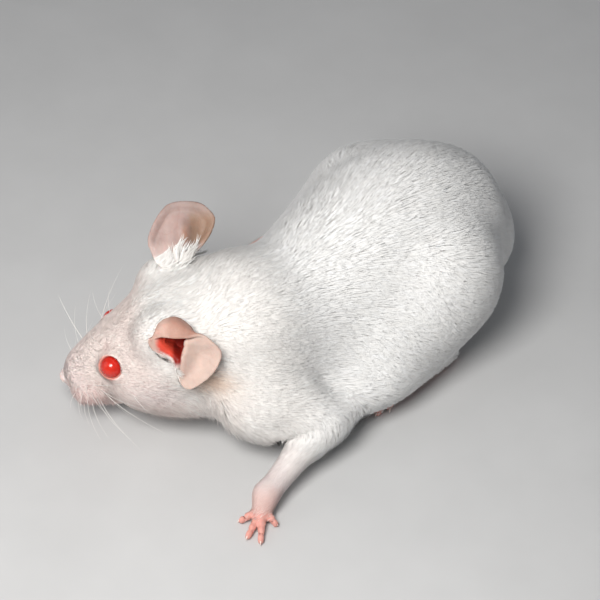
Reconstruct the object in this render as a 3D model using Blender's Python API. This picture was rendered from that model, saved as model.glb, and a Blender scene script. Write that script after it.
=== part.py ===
"""A white mouse at life size, standing still with its head turned to its right.

Lengths below are millimetres in the animal's own frame: +X is its left side, it faces -Y,
+Z is up and the floor is Z = 0. The solids reach to the tips of the coat.
"""

import bpy
import numpy as np

for obj in list(bpy.data.objects):
    bpy.data.objects.remove(obj, do_unlink=True)

# ---- driving sizes
GRID = 0.5            # spacing at which the body's surface is found
BODY_TRIANGLES = 4100
GAP = 0.3             # clear space between neighbouring parts
WELD = 0.03
# Head. The skull's own frame has its origin at the nape, -Y towards the nose.
# SKULL rows: distance ahead of the nape, centre height, half width, half height.
# TRUNK rows: x, y, z of the centre, half width, half height, belly fullness.
# Arms and the tail are given joint by joint. Digits: angle from the paw's heading, length.
HEAD_AT = (-1.2, 23.4, 20.6)
HEAD_YAW, HEAD_PITCH, HEAD_ROLL = -30.0, 23.5, 2.0
SKULL = [
    (24.6, -3.2, 1.4, 1.4), (23.8, -3.2, 2.5, 2.5), (22.4, -3.2, 3.5, 3.7), (19.8, -3.2, 4.6, 5.0),
    (17.0, -3.1, 5.5, 6.1), (13.5, -2.9, 6.6, 7.1), (9.5, -2.8, 7.6, 7.8), (5.0, -2.7, 8.7, 8.5),
    (0.0, -3.0, 9.8, 9.2), (-5.0, -3.4, 10.6, 10.0),
]
TRUNK = [
    (-1.6, 20.5, 17.0, 9.2, 9.0, 0.00), (0.0, 26.0, 15.4, 10.6, 10.6, 0.03), (1.2, 32.0, 14.6, 11.6, 11.8, 0.05),
    (1.4, 39.0, 15.0, 12.2, 12.8, 0.08), (0.6, 46.0, 16.0, 13.8, 14.2, 0.10), (-0.2, 54.0, 17.0, 15.4, 16.0, 0.10),
    (-1.0, 61.0, 17.4, 15.5, 16.8, 0.06), (-1.2, 67.5, 16.0, 13.8, 15.2, 0.03), (-0.8, 73.0, 13.2, 11.4, 11.6, 0.0),
    (-0.1, 76.5, 11.6, 8.9, 9.1, 0.0), (0.1, 79.1, 10.7, 6.3, 6.6, 0.0), (0.2, 80.8, 10.2, 3.7, 4.0, 0.0), (0.2, 81.5, 10.0, 1.7, 1.8, 0.0),
]
LEFT_ARM = [(9.5, 27.5, 12.5), (18.2, 33.5, 7.2), (22.6, 20.2, 3.3)]
RIGHT_ARM = [(-8.0, 32.0, 12.5), (-12.5, 37.0, 8.2), (-12.0, 27.0, 3.2)]
LEFT_PAW, RIGHT_PAW = (23.8, 18.7, 1.3), (-12.2, 24.4, 1.3)
LEFT_PAW_TURN, RIGHT_PAW_TURN = 44, 4
HIND_PAW, HIND_PAW_TURN = (13.5, 50.2, 1.3), 12
ARM_RADII = [[6.6, 4.0, 2.35, 1.8], [5.8, 3.6, 2.4, 1.9]]
FORE_DIGITS = [(-58, 3.8), (-14, 5.1), (11, 5.5), (62, 3.1)]
HIND_DIGITS = [(-34, 3.8), (-13, 5.8), (2, 6.2), (16, 5.8), (36, 4.2)]
DIGIT = 0.72
TAIL = [(-1.5, 72.5, 8.5, 2.6), (-4.6, 78.0, 5.2, 2.2), (-9.2, 80.4, 2.5, 1.8), (-15.0, 79.4, 1.35, 1.6), (-20.6, 75.2, 1.25, 1.52),
        (-24.6, 68.5, 1.15, 1.42), (-26.8, 58.5, 1.05, 1.3), (-26.4, 48.5, 0.95, 1.16), (-23.6, 39.5, 0.82, 1.0),
        (-20.8, 31.5, 0.7, 0.82), (-21.4, 24.5, 0.6, 0.65)]
EYE_AT = (5.15, -14.95, 0.1)
EYE_RADIUS = 1.75
EAR_THICK = 0.7
EAR_TURN, EAR_TILT = 57.0, 45.0  # where the ears' own frame looks: round from -Y, and up
# Ear rims: side, up and out from the root in the ears' own frame.
LEFT_EAR_ROOT = (5.1, 14.5, 23.3)
LEFT_EAR_PIT = (0.9, 0.3, -3.0)
LEFT_EAR_RIM = [
    (-2.8, 1.2, 0.4), (-1.9, 3.0, 1.4), (-0.6, 4.3, 2.2), (1.2, 4.5, 2.9), (3.9, 2.9, 2.7), (6.1, 1.3, 2.2),
    (7.5, -0.4, 1.8), (7.0, -2.3, 1.2), (5.4, -4.2, 0.1), (3.6, -5.5, -0.8), (2.2, -5.7, -1.4), (1.2, -4.4, -1.5),
    (0.9, -2.7, -1.2), (0.3, -1.6, -0.5), (-1.2, -0.8, -0.1), (-2.5, 0.1, 0.1),
]
RIGHT_EAR_ROOT = (-8.3, 23.3, 26.6)
RIGHT_EAR_PIT = (0.4, 1.4, 0.6)
RIGHT_EAR_RIM = [
    (-3.5, -0.6, -0.6), (-3.9, 1.7, -1.4), (-3.5, 3.9, -1.8), (-2.6, 6.0, -2.0), (-1.2, 7.9, -2.0), (0.3, 8.5, -1.8),
    (2.0, 8.6, -1.5), (3.9, 8.3, -1.5), (5.4, 7.2, -1.8), (6.0, 6.0, -2.0), (5.5, 4.3, -1.8), (4.6, 2.8, -1.4),
    (3.2, 0.9, -1.0), (1.5, -0.6, -0.8), (-1.1, -1.2, -0.6),
]


def turn(yaw, pitch, roll):
    """Rotation matrix: roll about the long axis, then pitch nose down, then yaw, in degrees."""
    a, b, c = np.radians([yaw, pitch, roll])
    z = np.array([[np.cos(a), -np.sin(a), 0], [np.sin(a), np.cos(a), 0], [0, 0, 1]])
    x = np.array([[1, 0, 0], [0, np.cos(b), -np.sin(b)], [0, np.sin(b), np.cos(b)]])
    y = np.array([[np.cos(c), 0, -np.sin(c)], [0, 1, 0], [np.sin(c), 0, np.cos(c)]])
    return z @ x @ y


def head_point(p):
    return np.asarray(p, float) @ HEAD_R.T + np.array(HEAD_AT)


def smooth_rows(rows, n=24):
    """Rows of numbers carried through a Catmull-Rom curve, n steps to each interval."""
    r = np.array(rows, float)
    r = np.vstack([2 * r[0] - r[1], r, 2 * r[-1] - r[-2]])
    out = []
    for i in range(1, len(r) - 2):
        for t in np.arange(n) / n:
            a, b, c, d = r[i - 1:i + 3]
            out.append(0.5 * (2 * b + (c - a) * t + (2 * a - 5 * b + 4 * c - d) * t ** 2 + (3 * b - a - 3 * c + d) * t ** 3))
    return np.array(out + [r[-2]])


def loft(rows, up=(0, 0, 1), cap=1.0):
    """A body of oval sections along a spine, its far end flattened by cap. rows: centre x, y, z, half width, half height, belly fullness."""
    s = smooth_rows(rows)
    c = s[:, :3]
    t = np.gradient(c, axis=0)
    t /= np.linalg.norm(t, axis=1, keepdims=True)
    side = np.cross(t, np.asarray(up, float))
    side /= np.linalg.norm(side, axis=1, keepdims=True)
    top = np.cross(side, t)
    w, h, full = s[:, 3], s[:, 4], s[:, 5]

    def field(p):
        out = np.empty(len(p))
        for i in range(0, len(p), 20000):
            q = p[i:i + 20000]
            near = ((q[:, None, :] - c[None]) ** 2).sum(2).argmin(1)
            d = q - c[near]
            u, v, a = (d * side[near]).sum(1), (d * top[near]).sum(1), (d * t[near]).sum(1)
            a = np.where(near == 0, a, np.where(near == len(c) - 1, a / cap, 0.0))
            hh = h[near]
            ww = w[near] * (1 - full[near] * np.clip(v / hh, -1, 1))
            k0 = np.sqrt((u / ww) ** 2 + (v / hh) ** 2 + (a / ww) ** 2)
            k1 = np.sqrt((u / ww ** 2) ** 2 + (v / hh ** 2) ** 2 + (a / ww ** 2) ** 2)
            out[i:i + 20000] = np.where(k1 > 1e-9, k0 * (k0 - 1) / np.maximum(k1, 1e-9), -np.minimum(ww, hh))
        return out

    r = np.maximum(w, h).max()
    return field, c.min(0) - r, c.max(0) + r


def limb(points, radii):
    """A chain of tapered round lengths from joint to joint."""
    p0, r0 = np.array(points, float), np.array(radii, float)

    def field(p):
        out = np.full(len(p), 1e9)
        for a, b, ra, rb in zip(p0[:-1], p0[1:], r0[:-1], r0[1:]):
            ab = b - a
            t = np.clip(((p - a) @ ab) / (ab @ ab), 0, 1)
            out = np.minimum(out, np.linalg.norm(p - a - t[:, None] * ab, axis=1) - ra - t * (rb - ra))
        return out

    return field, (p0 - r0[:, None]).min(0), (p0 + r0[:, None]).max(0)


def oval(centre, radii, R=np.eye(3)):
    c, r = np.array(centre, float), np.array(radii, float)

    def field(p):
        q = (p - c) @ R
        k0, k1 = np.linalg.norm(q / r, axis=1), np.linalg.norm(q / r ** 2, axis=1)
        return np.where(k1 > 1e-9, k0 * (k0 - 1) / np.maximum(k1, 1e-9), -r.min())

    return field, c - r.max(), c + r.max()


class Form:
    """Masses joined in order by smooth unions (fuse > 0) or cut away softly (cut=True)."""

    def __init__(self):
        self.masses = []

    def add(self, mass, fuse=2.0, cut=False):
        self.masses.append((*mass, fuse, cut))
        return self

    def __call__(self, p):
        d = np.full(len(p), 50.0)
        for field, lo, hi, k, cut in self.masses:
            m = ((p > lo - k - 1.5) & (p < hi + k + 1.5)).all(1)
            if not m.any():
                continue
            e, g = field(p[m]), d[m]
            if cut:
                e, g = e, -g
            x = np.maximum(k - np.abs(e - g), 0) / max(k, 1e-6)
            f = np.minimum(e, g) - x * x * k / 4
            d[m] = -f if cut else f
        return d

    def box(self):
        real = [m for m in self.masses if not m[4]]
        return np.min([m[1] for m in real], 0), np.max([m[2] for m in real], 0)


HEAD_R = turn(HEAD_YAW, HEAD_PITCH, HEAD_ROLL)


def skull_rows():
    return [(*head_point((0, -a, z)), w, h, 0.0) for a, z, w, h in SKULL]
def paw(f, at, heading, side, digits, fuse):
    x, y, z = at
    for angle, length in digits:
        t = np.radians(heading * side + angle * side)
        d = np.array((np.sin(t), -np.cos(t), 0.0))
        p = np.array((x, y, z))
        k = p + d * length * 0.62
        e = p + d * (length - DIGIT * 0.6)
        f.add(limb([tuple(p + d * 0.6), (k[0], k[1], 1.15), (e[0], e[1], 0.55)], [0.95, DIGIT, DIGIT * 0.86]), fuse)
def flesh():
    f = Form()
    f.add(loft(TRUNK, cap=0.35), 0.1)
    f.add(loft(skull_rows(), HEAD_R[:, 2]), 5.0)
    for s in (1, -1):
        f.add(oval(head_point((s * 5.2, -9.5, -5.2)), (4.3, 7.4, 5.8), HEAD_R), 2.5)   # cheek
        f.add(oval(head_point((s * 2.3, -21.0, -4.8)), (2.9, 3.5, 2.8), HEAD_R), 1.4)   # whisker pad
        f.add(oval(head_point((s * 6.3, -3.9, 4.2)), (3.3, 4.5, 3.5), HEAD_R), 3.2)   # ear root
    f.add(oval(head_point((0.0, -15.6, -7.9)), (4.1, 6.9, 3.4), HEAD_R), 2.0)   # lower jaw
    f.add(oval(head_point((2.2, -3.6, -10.1)), (7.1, 9.4, 4.4), HEAD_R), 4.0)   # throat
    for pts, rad in zip((LEFT_ARM, RIGHT_ARM), ARM_RADII):
        mid = tuple(np.array(pts[1]) * 0.55 + np.array(pts[2]) * 0.45)
        f.add(limb([pts[0], pts[1], mid, pts[2]], rad), 4.2)
    f.add(oval((12.2, 25.6, 9.4), (4.3, 4.8, 4.3), turn(0, 0, 0)), 5.0)   # breast fold before the left foreleg
    f.add(oval((5.0, 43.0, 9.5), (11.0, 9.0, 7.4), turn(0, 0, 0)), 4.0)   # belly
    f.add(limb([(17.0, 37.5, 7.0), (15.9, 42.0, 7.3), (14.8, 47.0, 7.7)], [3.4, 3.7, 4.0]), 3.0)   # fold of the flank from elbow to knee
    for s in (1, -1):
        f.add(oval((s * 11.2 - 0.2, 61.0 + 0.5 * s, 17.1 - 0.4 * s), (8.7, 10.7, 11.7), turn(s * 10, -15, 0)), 2.5)   # haunch
        f.add(oval((s * 12.0, 53.0, 11.0), (7.0, 10.5, 8.6), turn(s * 10, -10, 0)), 4.0)   # thigh to the knee
        f.add(limb([(s * 15.3, 46.5, 7.6), (s * 12.4, 60.0, 4.9)], [5.0, 2.8]), 3.0)
        f.add(limb([(s * 11.2, 61.6, 1.95), (s * 12.8, 53.6, 1.7), (s * 13.4, 50.6, 1.5)], [2.1, 1.7, 1.5]), 2.0)
        paw(f, (s * HIND_PAW[0], HIND_PAW[1], HIND_PAW[2]), HIND_PAW_TURN, s, HIND_DIGITS, 0.5)
    for arm, at, heading, s in ((LEFT_ARM, LEFT_PAW, LEFT_PAW_TURN, 1), (RIGHT_ARM, RIGHT_PAW, RIGHT_PAW_TURN, -1)):
        f.add(limb([arm[2], (at[0], at[1], 1.5)], [1.85, 1.7]), 1.5)
        paw(f, at, heading, s, FORE_DIGITS, 0.5)
    t = smooth_rows(TAIL, 5)
    f.add(limb(t[:11, :3], t[:11, 3]), 3.0)
    f.add(limb(t[10:, :3], t[10:, 3]), 0.3)
    return f


def sample(form, lo, hi, step, offset=0.0):
    """The form's field on a grid. Far from the surface only a coarse value is kept."""
    k = 4
    n = (np.ceil((hi - lo) / (step * k)).astype(int) + 1) * k
    m = n // k
    mid = (np.stack(np.meshgrid(*[np.arange(i) for i in m], indexing="ij"), -1).reshape(-1, 3) * k + (k - 1) / 2) * step + lo
    rough = form(mid) - offset
    near = np.abs(rough) < step * k * 0.9 + 2.2
    D = np.repeat(np.repeat(np.repeat(rough.reshape(m), k, 0), k, 1), k, 2)
    block = np.stack(np.meshgrid(*[np.arange(k)] * 3, indexing="ij"), -1).reshape(-1, 3)
    cells = np.stack(np.meshgrid(*[np.arange(i) for i in m], indexing="ij"), -1).reshape(-1, 3)[near] * k
    pts = (cells[:, None] + block[None]).reshape(-1, 3)
    for i in range(0, len(pts), 200000):
        q = pts[i:i + 200000]
        D[tuple(q.T)] = form(q * step + lo) - offset
    return D


def unpinched(D):
    """The samples with no square of four that alternates in and out, where a surface would touch itself."""
    for i in range(20):
        found = 0
        for b, c in ((0, 1), (0, 2), (1, 2)):
            part = lambda u, v: tuple(slice(d, D.shape[k] - 1 + d) if k in (b, c) else slice(None) for k, d in ((k, u if k == b else v) for k in range(3)))
            four = [D[part(u, v)] for u, v in ((0, 0), (0, 1), (1, 0), (1, 1))]
            inside = [f < 0 for f in four]
            bad = np.argwhere((inside[0] == inside[3]) & (inside[1] == inside[2]) & (inside[0] != inside[1]))
            found += len(bad)
            for at in bad:
                corners = []
                for u, v in ((0, 0), (0, 1), (1, 0), (1, 1)):
                    q = at.copy()
                    q[b] += u
                    q[c] += v
                    corners.append(tuple(q))
                least = min(corners, key=lambda q: abs(D[q]))
                D[least] = -0.03 if D[least] >= 0 else 0.03
        if not found:
            break
    return D


def surface(D, lo, step):
    """Closed surface where the sampled field is zero: one point to each cell that it passes through."""
    D = unpinched(D)
    inside = D < 0
    size = D.shape
    count = np.zeros([s - 1 for s in size], np.int8)
    for i in (0, 1):
        for j in (0, 1):
            for k in (0, 1):
                count += inside[i:size[0] - 1 + i, j:size[1] - 1 + j, k:size[2] - 1 + k]
    active = (count > 0) & (count < 8)
    index = -np.ones(active.shape, np.int64)
    cells = np.argwhere(active)
    index[active] = np.arange(len(cells))
    total, number = np.zeros((len(cells), 3)), np.zeros(len(cells))
    for axis in range(3):
        b, c = [a for a in range(3) if a != axis]
        for u in (0, 1):
            for v in (0, 1):
                off = np.zeros(3, int)
                off[b], off[c] = u, v
                end = off.copy()
                end[axis] = 1
                p, q = cells + off, cells + end
                d0, d1 = D[tuple(p.T)], D[tuple(q.T)]
                cross = (d0 < 0) != (d1 < 0)
                at = p.astype(float)
                at[:, axis] += np.where(cross, d0 / np.where(cross, d0 - d1, 1), 0)
                total[cross] += at[cross]
                number[cross] += 1
    points = total / number[:, None] * step + lo
    quads = []
    for axis in range(3):
        b, c = [a for a in range(3) if a != axis]
        first, last = [slice(None)] * 3, [slice(None)] * 3
        first[axis], last[axis] = slice(0, -1), slice(1, None)
        edge = np.argwhere(inside[tuple(first)] != inside[tuple(last)])
        out_of = inside[tuple(first)][tuple(edge.T)]

        def cell(u, v):
            q = edge.copy()
            q[:, b] -= u
            q[:, c] -= v
            return index[tuple(q.T)]

        quad = np.stack([cell(1, 1), cell(0, 1), cell(0, 0), cell(1, 0)], 1)
        flip = out_of if axis != 1 else ~out_of
        quads.append(np.where(flip[:, None], quad, quad[:, ::-1]))
    return points, np.concatenate(quads)


def evened(points, quads, passes=5):
    """Points moved towards the middle of their neighbours and back, which evens the mesh without shrinking it."""
    ends = np.concatenate([quads[:, [i, (i + 1) % 4]] for i in range(4)])
    ends = np.concatenate([ends, ends[:, ::-1]])
    number = np.bincount(ends[:, 0], minlength=len(points))[:, None]
    for i in range(passes):
        for amount in (0.5, -0.52):
            mean = np.stack([np.bincount(ends[:, 0], points[ends[:, 1], k], len(points)) for k in range(3)], 1) / number
            points = points + amount * (mean - points)
    return points, quads


def temporary(points, faces):
    mesh = bpy.data.meshes.new("working")
    mesh.from_pydata([tuple(p) for p in points], [], [tuple(int(i) for i in f) for f in faces])
    mesh.update()
    obj = bpy.data.objects.new("working", mesh)
    bpy.context.scene.collection.objects.link(obj)
    return obj


def evaluated(obj):
    """Points and triangles of the object with its modifiers."""
    bpy.context.view_layer.update()
    one = obj.evaluated_get(bpy.context.evaluated_depsgraph_get())
    mesh = one.to_mesh()
    mesh.calc_loop_triangles()
    p = np.empty(len(mesh.vertices) * 3, np.float32)
    mesh.vertices.foreach_get("co", p)
    t = np.empty(len(mesh.loop_triangles) * 3, np.int32)
    mesh.loop_triangles.foreach_get("vertices", t)
    one.to_mesh_clear()
    return p.reshape(-1, 3).astype(float), t.reshape(-1, 3)


def remove(*objs):
    for obj in objs:
        mesh = obj.data
        bpy.data.objects.remove(obj, do_unlink=True)
        bpy.data.meshes.remove(mesh)


def less(piece, cutter, operation="DIFFERENCE"):
    a, b = temporary(*piece), temporary(*cutter)
    b.hide_render = True
    b.display_type = "WIRE"
    cut = a.modifiers.new("cut", "BOOLEAN")
    cut.operation, cut.object, cut.solver = operation, b, "EXACT"
    out = evaluated(a)
    remove(a, b)
    return out


def thinned(points, faces, triangles):
    obj = temporary(points, faces)
    fewer = obj.modifiers.new("fewer", "DECIMATE")
    fewer.ratio = triangles / (2.0 * len(faces))
    out = evaluated(obj)
    remove(obj)
    return out


def cleaned(points, faces):
    """The same body with edges shorter than WELD closed up and the faces that fold flat on each other dropped."""
    for i in range(4):
        ends = np.concatenate([faces[:, [0, 1]], faces[:, [1, 2]], faces[:, [2, 0]]])
        short = ends[np.linalg.norm(points[ends[:, 0]] - points[ends[:, 1]], axis=1) < WELD]
        low = np.arange(len(points))
        for k in range(6):
            least = np.minimum(low[short[:, 0]], low[short[:, 1]])
            np.minimum.at(low, short[:, 0], least)
            np.minimum.at(low, short[:, 1], least)
        faces = low[faces]
        faces = faces[(faces[:, 0] != faces[:, 1]) & (faces[:, 1] != faces[:, 2]) & (faces[:, 0] != faces[:, 2])]
        _, group, count = np.unique(np.sort(faces, 1), axis=0, return_inverse=True, return_counts=True)
        faces = faces[count[group.reshape(-1)] == 1]
    used, back = np.unique(faces, return_inverse=True)
    return points[used], back.reshape(-1, 3)


def islands(points, faces):
    """The separate closed bodies in a mesh, largest first."""
    low = np.arange(len(points))
    while True:
        least = low[faces].min(1)
        new = low.copy()
        for i in range(3):
            np.minimum.at(new, faces[:, i], least)
        new = new[new]
        if (new == low).all():
            break
        low = new
    out = []
    for key in np.unique(low[faces[:, 0]]):
        f = faces[low[faces[:, 0]] == key]
        used, back = np.unique(f, return_inverse=True)
        p, f = points[used], back.reshape(-1, 3)
        out.append((np.linalg.det(p[f]).sum() / 6, p, f))
    out.sort(key=lambda one: -abs(one[0]))
    return [(p, f) for volume, p, f in out if abs(volume) > 0.02]


def disc(centre, normal, radius, thick, sides=40):
    n = np.array(normal, float)
    n /= np.linalg.norm(n)
    a = np.cross(n, (0, 0, 1) if abs(n[2]) < 0.9 else (1, 0, 0))
    a /= np.linalg.norm(a)
    b = np.cross(n, a)
    t = np.arange(sides) * 2 * np.pi / sides
    ring = radius * (np.cos(t)[:, None] * a + np.sin(t)[:, None] * b) + np.array(centre, float)
    points = np.concatenate([ring - n * thick / 2, ring + n * thick / 2])
    walls = [(i, (i + 1) % sides, sides + (i + 1) % sides, sides + i) for i in range(sides)]
    faces = walls + [tuple(range(sides))[::-1], tuple(range(sides, 2 * sides))]
    return points, faces


def part_off(piece, centre, normal, radius=60.0):
    """Cuts a piece with a thin disc. Returns what lies on the normal's side, and the rest."""
    n = np.array(normal, float)
    n /= np.linalg.norm(n)
    found = islands(*less(piece, disc(centre, n, radius, GAP)))
    side = [((p.mean(0) - np.array(centre)) @ n) > 0 for p, f in found]
    ahead, behind = [p for p, s in zip(found, side) if s], [p for p, s in zip(found, side) if not s]
    if len(ahead) != 1 or len(behind) != 1:
        print("cut at", centre, "gave", [(round(float(np.linalg.det(p[f]).sum() / 6), 2), np.round(p.mean(0), 1)) for p, f in found])
    return ahead[0], behind[0]


def ball(centre, radius, rings=9, sides=16):
    t, s = np.pi * np.arange(1, rings) / rings, 2 * np.pi * np.arange(sides) / sides
    middle = np.stack([np.outer(np.sin(t), np.cos(s)), np.outer(np.sin(t), np.sin(s)), np.outer(np.cos(t), np.ones(sides))], -1)
    points = np.concatenate([[(0, 0, 1)], middle.reshape(-1, 3), [(0, 0, -1)]]) * radius + np.array(centre)
    row = lambda i, j: 1 + i * sides + j % sides
    faces = [(0, row(0, j), row(0, j + 1)) for j in range(sides)]
    faces += [(row(i, j), row(i + 1, j), row(i + 1, j + 1), row(i, j + 1)) for i in range(rings - 2) for j in range(sides)]
    faces += [(row(rings - 2, j), len(points) - 1, row(rings - 2, j + 1)) for j in range(sides)]
    return points, faces


def closed_curve(points, n):
    """n points along a smooth closed curve through the given ones, evenly spaced."""
    p = np.array(points, float)
    out = []
    for i in range(len(p)):
        a, b, c, d = p[i - 1], p[i], p[(i + 1) % len(p)], p[(i + 2) % len(p)]
        for t in np.arange(12) / 12:
            out.append(0.5 * (2 * b + (c - a) * t + (2 * a - 5 * b + 4 * c - d) * t ** 2 + (3 * b - a - 3 * c + d) * t ** 3))
    out = np.array(out)
    step = np.linalg.norm(np.roll(out, -1, 0) - out, axis=1)
    along = np.concatenate([[0], np.cumsum(step)])
    want = np.arange(n) / n * along[-1]
    ring = np.vstack([out, out[:1]])
    return np.stack([np.interp(want, along, ring[:, i]) for i in range(3)], 1)


def ear_frame():
    a, e = np.radians([EAR_TURN, EAR_TILT])
    side = np.array((np.cos(a), np.sin(a), 0.0))
    out = np.array((np.sin(a) * np.cos(e), -np.cos(a) * np.cos(e), np.sin(e)))
    return np.array([side, np.cross(out, side), out])


def ear(root, pit, rim, thick, steep, sides=28, rings=5):
    """A cupped sheet from the pit out to the rim, given thickness: a closed shell."""
    edge = closed_curve(rim, sides)
    pit = np.array(pit)
    r = (np.arange(1, rings + 1) / rings)[:, None, None]
    flat = pit + (edge[None] - pit) * r
    flat[..., 2] = (pit[2] + (edge[None, :, 2] - pit[2]) * (1 - (1 - r[..., 0]) ** steep))
    points = np.concatenate([[pit], flat.reshape(-1, 3)])
    row = lambda i, j: 1 + i * sides + j % sides
    faces = [(0, row(0, j), row(0, j + 1)) for j in range(sides)]
    faces += [(row(i, j), row(i + 1, j), row(i + 1, j + 1)) for i in range(rings - 1) for j in range(sides)]
    faces += [(row(i, j), row(i + 1, j + 1), row(i, j + 1)) for i in range(rings - 1) for j in range(sides)]
    faces = np.array(faces)
    world = points @ ear_frame() + np.array(root)
    a, b, c = world[faces[:, 0]], world[faces[:, 1]], world[faces[:, 2]]
    n = np.zeros_like(world)
    for i in range(3):
        np.add.at(n, faces[:, i], np.cross(b - a, c - a))
    n /= np.linalg.norm(n, axis=1, keepdims=True)
    count = len(world)
    both = np.concatenate([world + n * thick / 2, world - n * thick / 2])
    last = [row(rings - 1, j) for j in range(sides)] + [row(rings - 1, 0)]
    wall = [(last[j], last[j] + count, last[j + 1] + count) for j in range(sides)]
    wall += [(last[j], last[j + 1] + count, last[j + 1]) for j in range(sides)]
    shell = np.concatenate([faces, faces[:, ::-1] + count, np.array(wall)])
    if np.linalg.det(both[shell]).sum() < 0:
        shell = shell[:, ::-1]
    return both, shell


def clear_of_head(piece, form):
    """What is left of a piece outside the body's surface and the gap round it."""
    lo, hi = piece[0].min(0) - 2.5, piece[0].max(0) + 2.5
    mid, half = (lo + hi) / 2, (hi - lo) / 2 - 1.2

    def near(p):
        return np.maximum(form(p) - GAP, (np.abs(p - mid) - half).max(1))

    D = sample(near, lo, hi, GRID)
    D[0], D[-1], D[:, 0], D[:, -1], D[:, :, 0], D[:, :, -1] = [5.0] * 6
    skin = evened(*surface(D, lo, GRID), 3)
    for share in (1.0, 0.9, 1.1, 0.8, 1.2):
        left = islands(*less(piece, thinned(*skin, share * len(skin[1]) // 2)))[0]
        if abs(np.linalg.det(left[0][left[1]]).sum()) < abs(np.linalg.det(piece[0][piece[1]]).sum()):
            break
    return left


form = flesh()
low, high = form.box()
low, high = low - 2.5, high + 2.5
whole = thinned(*evened(*surface(sample(form, low, high, GRID), low, GRID)), BODY_TRIANGLES)
floor = [(x, y, z) for z in (-9.0, 0.0) for y in (-30.0, 120.0) for x in (-60.0, 60.0)]
under = (np.array(floor), [(0, 2, 3, 1), (4, 5, 7, 6), (0, 1, 5, 4), (2, 6, 7, 3), (0, 4, 6, 2), (1, 3, 7, 5)])
whole = islands(*less(whole, under))[0]

nodes = {}
ahead = HEAD_R @ np.array((0.0, -1.0, 0.0))
# Tail, in four lengths, from the tip in.
t = np.array(TAIL)[:, :3]
tail, whole = part_off(whole, t[1] * 0.45 + t[2] * 0.55, t[2] - t[1], 4.0)
rest = tail
for i, k in ((4, 7.5), (3, 5.5), (2, 3.4)):
    j = int(k)
    at = t[j] + (t[j + 1] - t[j]) * (k - j)
    nodes[f"tail_{i}"], rest = part_off(rest, at, t[j + 1] - t[j], 3.0)
nodes["tail_1"] = rest
# Head, and its nose, eyes and ears.
head, whole = part_off(whole, head_point((0, -2.4, -2.5)), turn(-16, 10, 0) @ np.array((0, -0.96, 0.28)), 14.0)
nodes["nose"], head = part_off(head, head_point((0, -23.4, -3.2)), ahead)
for s, name in ((1, "left"), (-1, "right")):
    x, y, z = EYE_AT
    at = head_point((s * x, y, z))
    nodes[f"eye_{name}"] = ball(at, EYE_RADIUS)
    head = less(head, ball(at, EYE_RADIUS + GAP))
nodes["head"] = islands(*head)[0]
nodes["ear_left"] = clear_of_head(ear(LEFT_EAR_ROOT, LEFT_EAR_PIT, LEFT_EAR_RIM, EAR_THICK, 1.7), form)
nodes["ear_right"] = clear_of_head(ear(RIGHT_EAR_ROOT, RIGHT_EAR_PIT, RIGHT_EAR_RIM, EAR_THICK, 1.6), form)
# Front and hind halves, parted between the elbows and the knees.
front, hind = part_off(whole, (0.8, 40.2, 15.0), (0, -1, 0))
for s, name, arm_at, low_at, joints in (
    (1, "left", (13.4, 28.5, 9.5), 0.3, LEFT_ARM),
    (-1, "right", (-11.3, 33.5, 9.5), 0.25, RIGHT_ARM),
):
    w = np.array(joints)
    arm, front = part_off(front, arm_at, (s * 0.85, 0.0, -0.52))
    nodes[f"forepaw_{name}"], arm = part_off(arm, w[2] * 0.95 + w[1] * 0.05, w[2] - w[1], 5.0)
    nodes[f"forearm_{name}"], nodes[f"upper_arm_{name}"] = part_off(arm, w[1] * (1 - low_at) + w[2] * low_at, w[2] - w[1])
    leg, hind = part_off(hind, (s * 11.3, 57.0, 14.0), (s * 1.0, 0.133, -0.19))
    nodes[f"hindfoot_{name}"], nodes[f"thigh_{name}"] = part_off(leg, (s * 12.4, 54.0, 3.2), (0, -0.02, -1))
nodes["neck"], nodes["chest"] = part_off(front, (0.6, 29.0, 16.0), (-0.12, -0.80, 0.58))
nodes["belly"], nodes["rump"] = part_off(hind, (0, 64.0, 14.0), (0, -1, -0.3))

for name, (points, faces) in nodes.items():
    if not name.startswith("eye"):
        nodes[name] = cleaned(points, faces)

# ---- nodes, with the origin under the middle of the whole
everything = np.concatenate([np.asarray(p) for p, f in nodes.values()])
shift = np.array([*((everything.min(0) + everything.max(0)) / 2)[:2], everything[:, 2].min()])
COLOURS = {
    "coat": ((0.86, 0.84, 0.81, 1), 0.75),
    "bare_skin": ((0.83, 0.55, 0.50, 1), 0.5),
    "ear_skin": ((0.85, 0.66, 0.58, 1), 0.5),
    "eye_red": ((0.62, 0.03, 0.03, 1), 0.06),
}


def slot_of(name):
    if name.startswith("eye"):
        return "eye_red"
    if name.startswith("ear"):
        return "ear_skin"
    return "bare_skin" if name.startswith(("tail", "forepaw", "hindfoot", "nose")) else "coat"


for name, (points, faces) in nodes.items():
    mesh = bpy.data.meshes.new(name)
    points = (np.asarray(points) - shift) / 1000
    mesh.from_pydata([tuple(p) for p in points], [], [tuple(int(i) for i in f) for f in faces])
    mesh.update()
    mesh.shade_smooth()
    mesh.set_sharp_from_angle(angle=np.radians(50))
    obj = bpy.data.objects.new(name, mesh)
    bpy.context.scene.collection.objects.link(obj)
    slot = slot_of(name)
    colour, rough = COLOURS[slot]
    material = bpy.data.materials.new(f"{name}_{slot}")
    material.use_nodes = True
    shader = material.node_tree.nodes["Principled BSDF"]
    shader.inputs["Base Color"].default_value = colour
    shader.inputs["Roughness"].default_value = rough
    mesh.materials.append(material)
    mesh.update()
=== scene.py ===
"""The looks of a white pet mouse at life size: one skin with its ears, lids, nose, toes and tail rings,
a coat of short tufts over it, eyes, claws and whiskers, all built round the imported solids.

Lengths in the shape functions are millimetres in the animal's own frame: +X is its left side,
it faces -Y, +Z is up and the floor is Z = 0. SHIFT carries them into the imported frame.
"""

import bpy
import numpy as np
from mathutils import Matrix, Vector, kdtree
from mathutils.bvhtree import BVHTree


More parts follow.
